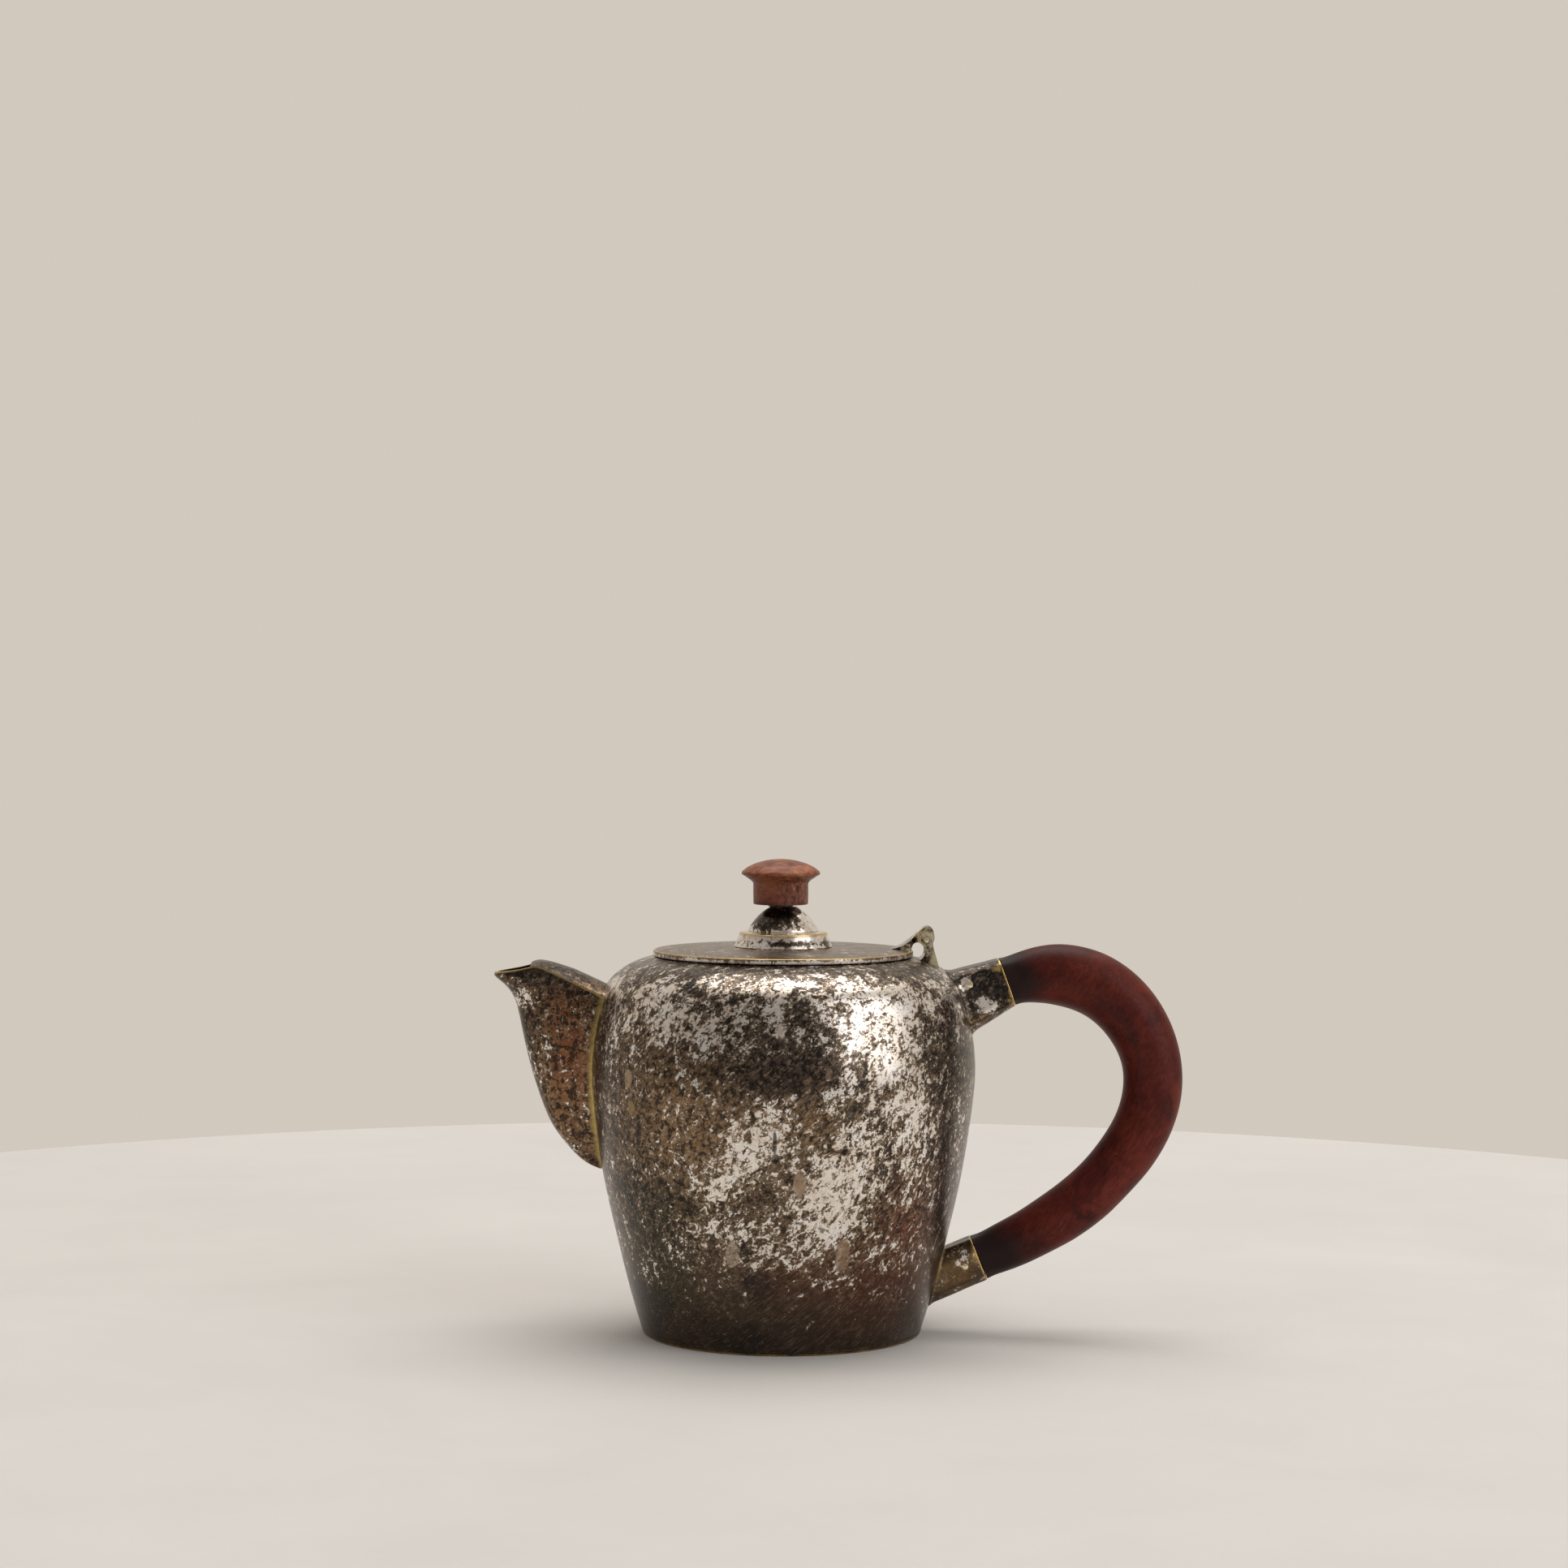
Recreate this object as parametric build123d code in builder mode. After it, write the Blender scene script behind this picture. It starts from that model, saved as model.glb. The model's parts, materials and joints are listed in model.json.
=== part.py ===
"""Small silver-plated teapot with a hinged lid, a beak spout and a pinned wooden loop handle.

Millimetres. The origin is the centre of the foot, +Z is up, the spout points along -X and
the handle along +X. Every piece is one named solid, written to parts/ as its own STEP file.
"""
from build123d import *
from math import cos, radians, sin
import os

# Vessel, as (radius, height) pairs from the foot to the mouth
WALL = 1.2
FOOT_HEIGHT = 1.2
FOOT_BOTTOM_RADIUS = 40.4
FOOT_BORE_RADIUS = 37.6
BASE_THICKNESS = 1.0
MOUTH_RADIUS = 38.0
SHOULDER_HEIGHT = 109.5
SIDE = [(40.9, FOOT_HEIGHT), (42.8, 7.4), (45.6, 17.6), (48.4, 28.8), (50.9, 39.0), (53.4, 52.5),
        (55.4, 66.8), (56.15, 76.2), (55.6, 85.7), (52.9, 98.0)]
SHOULDER = [(52.9, 98.0), (51.1, 102.0), (48.3, 104.9), (43.2, 107.9), (MOUTH_RADIUS, SHOULDER_HEIGHT)]
INNER_SHOULDER = [(51.7, 98.0), (49.9, 101.5), (47.5, 103.9), (42.8, 106.7),
                  (MOUTH_RADIUS, SHOULDER_HEIGHT - WALL)]
SOLDER_GAP = 0.03  # between the vessel and whatever is soldered to it

# Mouth and lid
COLLAR_BORE = 33.0
COLLAR_DEPTH = 6.3
SEAT_RADIUS = 36.3
SEAT_HEIGHT = 109.8
LID_RADIUS = 37.9
LID_UNDERSIDE = 109.9
LID_EDGE_TOP = 111.5
CROWN_HEIGHT = 112.4
BEZEL_RADIUS = 32.2
BEZEL_WALL = 0.8
BEZEL_DEPTH = 4.0
DRUM_RADIUS = 14.3
DRUM_BORE = 9.0
DRUM_TOP = 117.0
DOME_TOP = 124.1

# Knob and its fastening, which stand a little off the axis towards the spout
KNOB_X = -0.8
KNOB_BASE = 124.8
KNOB_TOP = 138.0
COLLAR_RADIUS = 3.65
STUD_RADIUS = 2.0
STUD_CLEARANCE = 0.05
STUD_BOTTOM = 118.4
STUD_TOP = 133.0
KNOB_BORE_TOP = 133.2
NUT_FLATS = 7.0
NUT_HEIGHT = 2.2
WASHER_RADIUS = 3.9
WASHER_THICKNESS = 0.6
WASHER_TOP = 122.1

# Hinge, which turns about a pin along Y
HINGE_X = 41.5
HINGE_Z = 114.9
PIN_RADIUS = 0.95
PIN_CLEARANCE = 0.05
KNUCKLE_RADIUS = 1.95
HINGE_HALF_WIDTH = 5.5
TONGUE_HALF_WIDTH = 2.4
TONGUE_GAP = 0.2
STRAP_HALF_WIDTH = 5.0
SWEEP_RADIUS = 4.3
STRAP_SIDE = [(30.3, 112.05), (33.5, 112.7), (36.6, 114.5), (39.4, 117.2), (41.3, 118.5), (42.6, 118.7),
              (43.7, 117.2), (44.1, 115.4), (43.5, 113.4)]

# Spout: (height, keel x, half width at the vessel), and the rim seen from the side
SPOUT_ROOT_X = -46.0
SPOUT_WALL = 1.1
SPOUT_FULLNESS = 3.2
SPOUT_SLICES = [(47.2, -54.2, 1.6), (50.2, -58.9, 3.6), (54.0, -62.7, 5.2), (60.2, -67.2, 6.9),
                (68.0, -70.6, 8.2), (78.5, -73.9, 9.2), (88.0, -76.1, 9.6), (95.0, -77.7, 9.7),
                (98.5, -79.0, 9.7), (101.0, -81.3, 9.6), (104.2, -85.6, 9.5), (108.5, -92.0, 9.4)]
SPOUT_TIP_X = -84.3
RIM = [(SPOUT_TIP_X, 104.6), (-80.5, 105.3), (-76.7, 105.8), (-73.6, 106.6), (-71.5, 107.0),
       (-69.5, 106.3), (-62.2, 103.2), (-53.5, 99.1), (-46.0, 95.4)]
COVER_ARCHES = [(-73.0, 106.7, 1.1), (-68.0, 105.7, 2.2), (-62.2, 103.2, 3.1), (-54.0, 99.3, 3.1),
                (-47.0, 95.9, 3.1)]
COVER_THICKNESS = 0.9
COVER_SKIRT = 0.6
STRAINER_HOLE_RADIUS = 1.5
STRAINER_PITCH = 5.0
STRAINER_ROWS = [(64.0, 2), (68.5, 3), (73.0, 2), (77.5, 3), (82.0, 2), (86.5, 3), (91.0, 2)]

# Handle: (x, z, thickness) along the centre line of the wood, from the upper joint to the lower one
GRIP = [(65.35, 102.45, 14.2), (72.6, 104.2, 16.0), (79.6, 104.6, 17.8), (87.0, 103.2, 18.8),
        (94.0, 99.8, 18.9), (100.0, 94.6, 18.5), (105.0, 87.2, 17.8), (107.7, 79.0, 17.3),
        (107.9, 70.0, 17.2), (105.4, 61.0, 16.9), (100.6, 52.6, 16.6), (93.9, 44.4, 16.2),
        (85.6, 37.0, 16.0), (76.2, 30.7, 15.4), (66.6, 25.6, 14.2), (57.55, 21.6, 13.0)]
GRIP_WIDTH_SHARE = 0.93
UPPER_JOINT_ANGLE = 20.2
LOWER_JOINT_ANGLE = 22.2
UPPER_TENON = (5.6, 12.5)
LOWER_TENON = (4.8, 8.0)
TENON_CLEARANCE = 0.05

# Sockets, as (top, bottom, half width, facet) at the wood and at the far end inside the vessel's form
UPPER_NEAR = (7.1, -7.1, 6.9, 2.0)
UPPER_FAR = (9.1, -11.6, 9.0, 3.6)
UPPER_REACH = 21.0
LOWER_NEAR = (6.5, -6.5, 6.2, 2.4)
LOWER_FAR = (6.3, -6.9, 6.6, 2.6)
LOWER_REACH = 22.0

# Pins through the sockets, as (out from the joint, up across it, radius)
UPPER_PIN = (-10.8, 3.7, 1.15)
LOWER_PIN = (-4.6, 0.0, 1.0)
PIN_PROUD = 0.15


def revolved(outline):
    """A solid of revolution about Z from a closed outline of (radius, height) points."""
    with BuildPart() as solid:
        with BuildSketch(Plane.XZ):
            with BuildLine():
                Polyline(*outline, close=True)
            make_face()
        revolve(axis=Axis.Z)
    return solid


def joint_plane(station, angle):
    """A plane across one end of the grip: local x runs along Y and the normal leaves the vessel."""
    x, z, thickness = station
    tilt = radians(angle)
    return Plane(origin=(x, 0, z), x_dir=(0, 1, 0), z_dir=(cos(tilt), 0, sin(tilt)))


def pin_rod(plane, pin, half_length):
    """A rod along Y through a socket, placed from its joint plane."""
    out, up, radius = pin
    centre = plane.origin + plane.z_dir * out + plane.z_dir.rotate(Axis.Y, -90) * up
    with BuildPart() as rod:
        with BuildSketch(Plane.XZ):
            with Locations((centre.X, centre.Z)):
                Circle(radius)
        extrude(amount=half_length, both=True)
    return rod


def save(piece, name):
    piece.part.label = name
    export_step(piece.part, f"parts/{name}.step")


os.makedirs("parts", exist_ok=True)

upper_plane = joint_plane(GRIP[0], UPPER_JOINT_ANGLE)
lower_plane = joint_plane(GRIP[-1], LOWER_JOINT_ANGLE)


def vessel_face(swell=0):
    """Half section of the vessel's outer form, closed along the axis, let out sideways by swell."""
    with BuildSketch(Plane.XZ) as face:
        with BuildLine():
            flank = Spline(*[(r + swell, z) for r, z in SIDE])
            shoulder = Spline(*[(r + swell, z) for r, z in SHOULDER], tangents=[flank % 1, (-1, 0.2)])
            Polyline(shoulder @ 1, (0, SHOULDER_HEIGHT), (0, FOOT_HEIGHT), flank @ 0)
        make_face()
    return face


# The vessel's outer form as one solid, let out by the solder gap, trims everything soldered to it
with BuildPart() as vessel_form:
    with BuildSketch(Plane.XZ):
        add(vessel_face(SOLDER_GAP).sketch_local)
    revolve(axis=Axis.Z)

# ---- Vessel ----
with BuildPart() as body_shell:
    with BuildSketch(Plane.XZ):
        add(vessel_face().sketch_local)
        with BuildLine():
            inner_flank = Spline(*[(r - WALL, z) for r, z in SIDE])
            Spline(*INNER_SHOULDER, tangents=[inner_flank % 1, (-1, 0.2)])
            Line((MOUTH_RADIUS, SHOULDER_HEIGHT - WALL), (MOUTH_RADIUS, SHOULDER_HEIGHT + 1))
            Line((MOUTH_RADIUS, SHOULDER_HEIGHT + 1), (0, SHOULDER_HEIGHT + 1))
            Line((0, SHOULDER_HEIGHT + 1), (0, FOOT_HEIGHT))
            Line((0, FOOT_HEIGHT), (SIDE[0][0] - WALL, FOOT_HEIGHT))
        make_face(mode=Mode.SUBTRACT)
    revolve(axis=Axis.Z)
    # Strainer: holes in staggered rows through the wall behind the spout
    with BuildSketch(Plane.YZ.offset(SPOUT_ROOT_X + 2)):
        for height, count in STRAINER_ROWS:
            with Locations((0, height)):
                with GridLocations(STRAINER_PITCH, 1, count, 1):
                    Circle(STRAINER_HOLE_RADIUS)
    extrude(amount=-20, mode=Mode.SUBTRACT)
save(body_shell, "body_shell")

foot_ring = revolved([(FOOT_BORE_RADIUS, 0), (FOOT_BOTTOM_RADIUS - 0.4, 0), (FOOT_BOTTOM_RADIUS, 0.4),
                      (SIDE[0][0], FOOT_HEIGHT), (FOOT_BORE_RADIUS, FOOT_HEIGHT)])
save(foot_ring, "foot_ring")

base_top = FOOT_HEIGHT + BASE_THICKNESS
base_disc = revolved([(0, FOOT_HEIGHT), (SIDE[0][0] - WALL - 0.1, FOOT_HEIGHT),
                      (SIDE[0][0] - WALL - 0.1, base_top), (0, base_top)])
save(base_disc, "base_disc")

ring_fit = MOUTH_RADIUS - SOLDER_GAP
mouth_ring = revolved([(ring_fit, SHOULDER_HEIGHT - WALL), (ring_fit, SHOULDER_HEIGHT),
                       (SEAT_RADIUS, SEAT_HEIGHT), (COLLAR_BORE, SEAT_HEIGHT),
                       (COLLAR_BORE, SEAT_HEIGHT - COLLAR_DEPTH),
                       (COLLAR_BORE + 1, SEAT_HEIGHT - COLLAR_DEPTH),
                       (COLLAR_BORE + 1, SHOULDER_HEIGHT - WALL)])
save(mouth_ring, "mouth_ring")


# ---- Spout ----
def spout_outline(keel_x, half_width):
    """Plan of the spout at one height: a blunt bow from the vessel round the keel and back."""
    length = SPOUT_ROOT_X - keel_x
    bow = []
    for share in (0.0, 0.35, 0.62, 0.82, 0.95):
        bow.append((SPOUT_ROOT_X - length * share, half_width * (1 - share**SPOUT_FULLNESS) ** 0.5))
    return bow + [(keel_x, 0)] + [(x, -y) for x, y in reversed(bow)]


def spout_form(inset):
    """The spout as a solid, shrunk by a wall thickness for its hollow."""
    with BuildPart() as form:
        for height, keel_x, half_width in SPOUT_SLICES:
            if half_width - inset > 1.5:
                with BuildSketch(Plane.XY.offset(height)):
                    with BuildLine():
                        bow = Spline(*spout_outline(keel_x + inset, half_width - inset))
                        Line(bow @ 1, bow @ 0)
                    make_face()
        loft()
    return form


spout_solid = spout_form(0)
spout_hollow = spout_form(SPOUT_WALL)

# Everything above the rim and beyond the tip, which the channel loses and the cover stands in
with BuildPart() as above_rim:
    with BuildSketch(Plane.XZ):
        with BuildLine():
            Polyline(*RIM, (RIM[-1][0], 120), (-100, 120), (-100, 90), (SPOUT_TIP_X, 90), close=True)
        make_face()
    extrude(amount=20, both=True)

with BuildPart() as spout_channel:
    add(spout_solid.part)
    add(spout_hollow.part, mode=Mode.SUBTRACT)
    add(above_rim.part, mode=Mode.SUBTRACT)
    add(vessel_form.part, mode=Mode.SUBTRACT)
save(spout_channel, "spout_channel")


def rim_half_width(x, height):
    """Half the spout's width at a place on its rim, between the two nearest slices."""
    for lower, upper in zip(SPOUT_SLICES, SPOUT_SLICES[1:]):
        if lower[0] <= height <= upper[0]:
            mix = (height - lower[0]) / (upper[0] - lower[0])
            keel_x = lower[1] + mix * (upper[1] - lower[1])
            half_width = lower[2] + mix * (upper[2] - lower[2])
            share = (SPOUT_ROOT_X - x) / (SPOUT_ROOT_X - keel_x)
            return half_width * (1 - share**SPOUT_FULLNESS) ** 0.5
    raise ValueError(f"no slice holds height {height}")


with BuildPart() as spout_cover:
    for x, height, crown in COVER_ARCHES:
        outer = rim_half_width(x, height)
        inner = outer - COVER_THICKNESS
        foot = height - COVER_SKIRT
        with BuildSketch(Plane.YZ.offset(x)):
            with BuildLine():
                ThreePointArc((-outer, height), (0, height + crown), (outer, height))
                Polyline((outer, height), (outer, foot), (inner, foot), (inner, height))
                ThreePointArc((inner, height), (0, height + crown - COVER_THICKNESS), (-inner, height))
                Polyline((-inner, height), (-inner, foot), (-outer, foot), (-outer, height))
            make_face()
    loft()
    add(above_rim.part, mode=Mode.INTERSECT)
    add(vessel_form.part, mode=Mode.SUBTRACT)
save(spout_cover, "spout_cover")


# ---- Handle ----
def socket_outline(top, bottom, half_width, facet):
    """Section of a socket: flat sides and top, with the lower corners cut back to facets."""
    right = [(half_width * 0.62, top), (half_width * 0.9, top - facet * 0.6), (half_width, top - facet * 1.3),
             (half_width, bottom + facet), (half_width * 0.55, bottom)]
    return right + [(-y, up) for y, up in reversed(right)]


def socket(plane, near, far, reach, tenon, pin):
    """A socket from the vessel to the wood, bored for the tenon and drilled for its pin."""
    tenon_radius, tenon_length = tenon
    with BuildPart() as piece:
        with BuildSketch(plane.offset(-reach)):
            Polygon(*socket_outline(*far), align=None)
        with BuildSketch(plane):
            Polygon(*socket_outline(*near), align=None)
        loft()
        add(vessel_form.part, mode=Mode.SUBTRACT)
        with BuildSketch(plane):
            Circle(tenon_radius + TENON_CLEARANCE)
        extrude(amount=-tenon_length - TENON_CLEARANCE, mode=Mode.SUBTRACT)
        add(pin_rod(plane, pin, 15).part, mode=Mode.SUBTRACT)
    return piece


upper_socket = socket(upper_plane, UPPER_NEAR, UPPER_FAR, UPPER_REACH, UPPER_TENON, UPPER_PIN)
save(upper_socket, "upper_socket")
lower_socket = socket(lower_plane, LOWER_NEAR, LOWER_FAR, LOWER_REACH, LOWER_TENON, LOWER_PIN)
save(lower_socket, "lower_socket")

with BuildPart() as handle_grip:
    with BuildLine(Plane.XZ):
        spine = Spline(*[(x, z) for x, z, thickness in GRIP],
                       tangents=[(cos(radians(UPPER_JOINT_ANGLE)), sin(radians(UPPER_JOINT_ANGLE))),
                                 (-cos(radians(LOWER_JOINT_ANGLE)), -sin(radians(LOWER_JOINT_ANGLE)))])
    for x, z, thickness in GRIP:
        heading = spine % spine.param_at_point((x, 0, z))
        with BuildSketch(Plane(origin=(x, 0, z), x_dir=(0, 1, 0), z_dir=heading)):
            Ellipse(thickness * GRIP_WIDTH_SHARE / 2, thickness / 2)
    loft()
    for plane, tenon, pin in ((upper_plane, UPPER_TENON, UPPER_PIN), (lower_plane, LOWER_TENON, LOWER_PIN)):
        with BuildSketch(plane):
            Circle(tenon[0])
        extrude(amount=-tenon[1])
        add(pin_rod(plane, pin, 15).part, mode=Mode.SUBTRACT)
save(handle_grip, "handle_grip")


def socket_half_width(near, far, reach, pin):
    """Half a socket's width where its pin goes through."""
    return near[2] + (far[2] - near[2]) * -pin[0] / reach


upper_half = socket_half_width(UPPER_NEAR, UPPER_FAR, UPPER_REACH, UPPER_PIN) + PIN_PROUD
save(pin_rod(upper_plane, UPPER_PIN, upper_half), "upper_handle_pin")
lower_half = socket_half_width(LOWER_NEAR, LOWER_FAR, LOWER_REACH, LOWER_PIN) + PIN_PROUD
save(pin_rod(lower_plane, LOWER_PIN, lower_half), "lower_handle_pin")


# ---- Lid ----
lid_plate = revolved([(LID_RADIUS - 0.5, LID_UNDERSIDE), (LID_RADIUS, LID_UNDERSIDE + 0.5),
                      (LID_RADIUS, LID_EDGE_TOP - 0.5), (LID_RADIUS - 0.7, LID_EDGE_TOP),
                      (26.0, 112.1), (DRUM_RADIUS + 0.3, CROWN_HEIGHT), (DRUM_BORE, CROWN_HEIGHT),
                      (DRUM_BORE, CROWN_HEIGHT - 1.1), (DRUM_RADIUS, CROWN_HEIGHT - 1.1), (26.0, 111.0),
                      (BEZEL_RADIUS - 1.0, LID_EDGE_TOP - 0.8), (BEZEL_RADIUS - 1.0, LID_UNDERSIDE)])
save(lid_plate, "lid_plate")

lid_bezel = revolved([(BEZEL_RADIUS, LID_UNDERSIDE), (BEZEL_RADIUS, LID_UNDERSIDE - BEZEL_DEPTH),
                      (BEZEL_RADIUS - BEZEL_WALL, LID_UNDERSIDE - BEZEL_DEPTH),
                      (BEZEL_RADIUS - BEZEL_WALL, LID_UNDERSIDE)])
save(lid_bezel, "lid_bezel")

lid_drum = revolved([(DRUM_RADIUS, CROWN_HEIGHT), (DRUM_RADIUS - 0.4, CROWN_HEIGHT + 0.8),
                     (DRUM_RADIUS - 1.2, CROWN_HEIGHT + 2.8), (12.85, 116.2), (12.5, 116.65),
                     (10.6, DRUM_TOP), (DRUM_BORE, DRUM_TOP), (DRUM_BORE, DRUM_TOP - 1.0),
                     (11.7, 115.7), (DRUM_RADIUS - 2.2, CROWN_HEIGHT + 2.4),
                     (DRUM_RADIUS - 1.2, CROWN_HEIGHT)])
save(lid_drum, "lid_drum")

with BuildPart() as lid_dome:
    with BuildSketch(Plane.XZ):
        with BuildLine():
            Spline((10.4, DRUM_TOP), (8.9, 119.5), (7.4, 121.3), (5.7, 122.8), (3.75, DOME_TOP))
            Line((3.75, DOME_TOP), (0, DOME_TOP))
            Line((0, DOME_TOP), (0, DOME_TOP - 0.9))
            Line((0, DOME_TOP - 0.9), (3.4, DOME_TOP - 0.9))
            Spline((3.4, DOME_TOP - 0.9), (5.0, 122.0), (6.5, 120.6), (7.9, 118.9), (9.3, DRUM_TOP))
            Line((9.3, DRUM_TOP), (10.4, DRUM_TOP))
        make_face()
    revolve(axis=Axis.Z)
    with Locations((KNOB_X, 0, DOME_TOP)):
        Hole(STUD_RADIUS + STUD_CLEARANCE)
save(lid_dome, "lid_dome")

with BuildPart() as knob_collar:
    with BuildSketch(Plane.XY.offset(DOME_TOP)):
        with Locations((KNOB_X, 0)):
            Circle(COLLAR_RADIUS)
            Circle(STUD_RADIUS + STUD_CLEARANCE, mode=Mode.SUBTRACT)
    extrude(amount=KNOB_BASE - DOME_TOP)
save(knob_collar, "knob_collar")

with BuildPart() as knob:
    with BuildSketch(Plane.XZ):
        with BuildLine():
            stud_bore = STUD_RADIUS + STUD_CLEARANCE
            Polyline((stud_bore, KNOB_BORE_TOP), (stud_bore, KNOB_BASE), (7.6, KNOB_BASE), (8.0, 125.2))
            Spline((8.0, 125.2), (8.05, 128.4), (8.35, 130.6), (9.6, 132.4), (11.1, 133.5))
            ThreePointArc((11.1, 133.5), (11.46, 134.0), (11.1, 134.6))
            Spline((11.1, 134.6), (8.2, 136.5), (4.2, 137.7), (0, KNOB_TOP), tangents=[(-1, 0.55), (-1, 0)])
            Polyline((0, KNOB_TOP), (0, KNOB_BORE_TOP), (stud_bore, KNOB_BORE_TOP))
        make_face()
    revolve(axis=Axis.Z)
knob.part.position = (KNOB_X, 0, 0)
save(knob, "knob")

with BuildPart() as knob_stud:
    with BuildSketch(Plane.XY.offset(STUD_BOTTOM)):
        with Locations((KNOB_X, 0)):
            Circle(STUD_RADIUS)
    extrude(amount=STUD_TOP - STUD_BOTTOM)
save(knob_stud, "knob_stud")

with BuildPart() as knob_washer:
    with BuildSketch(Plane.XY.offset(WASHER_TOP - WASHER_THICKNESS)):
        with Locations((KNOB_X, 0)):
            Circle(WASHER_RADIUS)
            Circle(STUD_RADIUS + STUD_CLEARANCE, mode=Mode.SUBTRACT)
    extrude(amount=WASHER_THICKNESS)
save(knob_washer, "knob_washer")

nut_top = WASHER_TOP - WASHER_THICKNESS
with BuildPart() as knob_nut:
    with BuildSketch(Plane.XY.offset(nut_top - NUT_HEIGHT)):
        with Locations((KNOB_X, 0)):
            RegularPolygon(NUT_FLATS / 2, 6, major_radius=False)
            Circle(STUD_RADIUS + STUD_CLEARANCE, mode=Mode.SUBTRACT)
    extrude(amount=NUT_HEIGHT)
save(knob_nut, "knob_nut")

# ---- Hinge ----
# The lid leaf: a tapering strap on the lid that rises over the pin as a narrow tongue
with BuildPart() as hinge_lid_leaf:
    with BuildSketch(Plane.XZ):
        with BuildLine():
            Spline(*STRAP_SIDE)
            Polyline(STRAP_SIDE[-1], (41.9, 112.6), (40.0, 113.7), (38.4, 113.9), (37.3, 112.9),
                     (37.2, 111.5), (30.3, 111.8), STRAP_SIDE[0])
        make_face()
    extrude(amount=STRAP_HALF_WIDTH, both=True)
    # Beyond the lid's edge only the tongue carries on, between the two body knuckles
    with BuildSketch(Plane.XY.offset(HINGE_Z - 8)):
        with BuildLine():
            Polyline((30.0, 2.0), (36.4, STRAP_HALF_WIDTH), (37.4, STRAP_HALF_WIDTH),
                     (38.6, TONGUE_HALF_WIDTH), (46.0, TONGUE_HALF_WIDTH),
                     (46.0, -TONGUE_HALF_WIDTH), (38.6, -TONGUE_HALF_WIDTH),
                     (37.4, -STRAP_HALF_WIDTH), (36.4, -STRAP_HALF_WIDTH), (30.0, -2.0), close=True)
        make_face()
    extrude(amount=16, mode=Mode.INTERSECT)
    with BuildSketch(Plane.XZ):
        with Locations((HINGE_X, HINGE_Z)):
            Circle(PIN_RADIUS + PIN_CLEARANCE)
    extrude(amount=10, both=True, mode=Mode.SUBTRACT)
    add(lid_plate.part, mode=Mode.SUBTRACT)
save(hinge_lid_leaf, "hinge_lid_leaf")

# The body leaf: a post on the shoulder with a knuckle each side of the tongue
with BuildPart() as hinge_body_leaf:
    with BuildSketch(Plane.XZ):
        with BuildLine():
            Polyline((41.2, 113.6), (41.0, 111.6), (40.9, 110.2), (40.1, 108.8), (40.1, 104.0), (45.9, 104.0),
                     (45.6, 105.9), (44.5, 109.6), (43.5, 113.2), (43.3, HINGE_Z), close=True)
        make_face()
        with Locations((HINGE_X, HINGE_Z)):
            Circle(KNUCKLE_RADIUS)
    extrude(amount=HINGE_HALF_WIDTH, both=True)
    with BuildSketch(Plane.XZ):
        with Locations((HINGE_X, HINGE_Z)):
            Circle(SWEEP_RADIUS)
    extrude(amount=TONGUE_HALF_WIDTH + TONGUE_GAP, both=True, mode=Mode.SUBTRACT)
    with BuildSketch(Plane.XZ):
        with Locations((HINGE_X, HINGE_Z)):
            Circle(PIN_RADIUS + PIN_CLEARANCE)
    extrude(amount=10, both=True, mode=Mode.SUBTRACT)
    add(vessel_form.part, mode=Mode.SUBTRACT)
save(hinge_body_leaf, "hinge_body_leaf")

with BuildPart() as hinge_pin:
    with BuildSketch(Plane.XZ):
        with Locations((HINGE_X, HINGE_Z)):
            Circle(PIN_RADIUS)
    extrude(amount=HINGE_HALF_WIDTH + PIN_PROUD, both=True)
save(hinge_pin, "hinge_pin")
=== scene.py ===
"""The looks of a small tarnished silver teapot with a wooden knob and handle, built round its CAD frame.

Outlines are in millimetres, in the frame's axes: +Z up, the spout along -X, the handle along +X.
finish_mesh scales them to metres. The lamps and the camera are in metres from the start.
"""

import json
from math import cos, pi, radians, sin

import bmesh
import bpy
import numpy as np
from mathutils import Euler, Matrix, Vector, noise


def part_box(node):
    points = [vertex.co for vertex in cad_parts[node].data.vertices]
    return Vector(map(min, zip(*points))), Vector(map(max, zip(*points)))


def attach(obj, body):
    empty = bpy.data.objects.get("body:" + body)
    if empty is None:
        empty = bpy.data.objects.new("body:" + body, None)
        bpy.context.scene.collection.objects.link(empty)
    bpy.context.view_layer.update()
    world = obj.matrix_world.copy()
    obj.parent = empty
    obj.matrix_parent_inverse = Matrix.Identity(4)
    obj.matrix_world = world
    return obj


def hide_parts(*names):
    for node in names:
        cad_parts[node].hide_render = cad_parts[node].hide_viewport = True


MM = 0.001

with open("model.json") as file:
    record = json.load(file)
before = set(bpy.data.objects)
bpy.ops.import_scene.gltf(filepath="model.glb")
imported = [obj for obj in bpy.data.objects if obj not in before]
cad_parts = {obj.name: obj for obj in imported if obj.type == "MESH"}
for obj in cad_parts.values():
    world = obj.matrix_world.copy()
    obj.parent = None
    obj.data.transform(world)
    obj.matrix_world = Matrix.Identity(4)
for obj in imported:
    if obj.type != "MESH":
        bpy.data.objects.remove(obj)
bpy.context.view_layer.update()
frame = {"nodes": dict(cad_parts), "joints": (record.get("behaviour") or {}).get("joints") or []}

# -------------------- driving sizes, read from the frame
FOOT_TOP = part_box("foot_ring")[1].z / MM
LID_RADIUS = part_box("lid_plate")[1].x / MM
LID_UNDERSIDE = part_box("lid_plate")[0].z / MM
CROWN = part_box("lid_plate")[1].z / MM
BEZEL_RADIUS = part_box("lid_bezel")[1].x / MM
BEZEL_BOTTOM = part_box("lid_bezel")[0].z / MM
DRUM_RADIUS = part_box("lid_drum")[1].x / MM
DRUM_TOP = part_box("lid_drum")[1].z / MM
DOME_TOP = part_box("lid_dome")[1].z / MM
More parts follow.
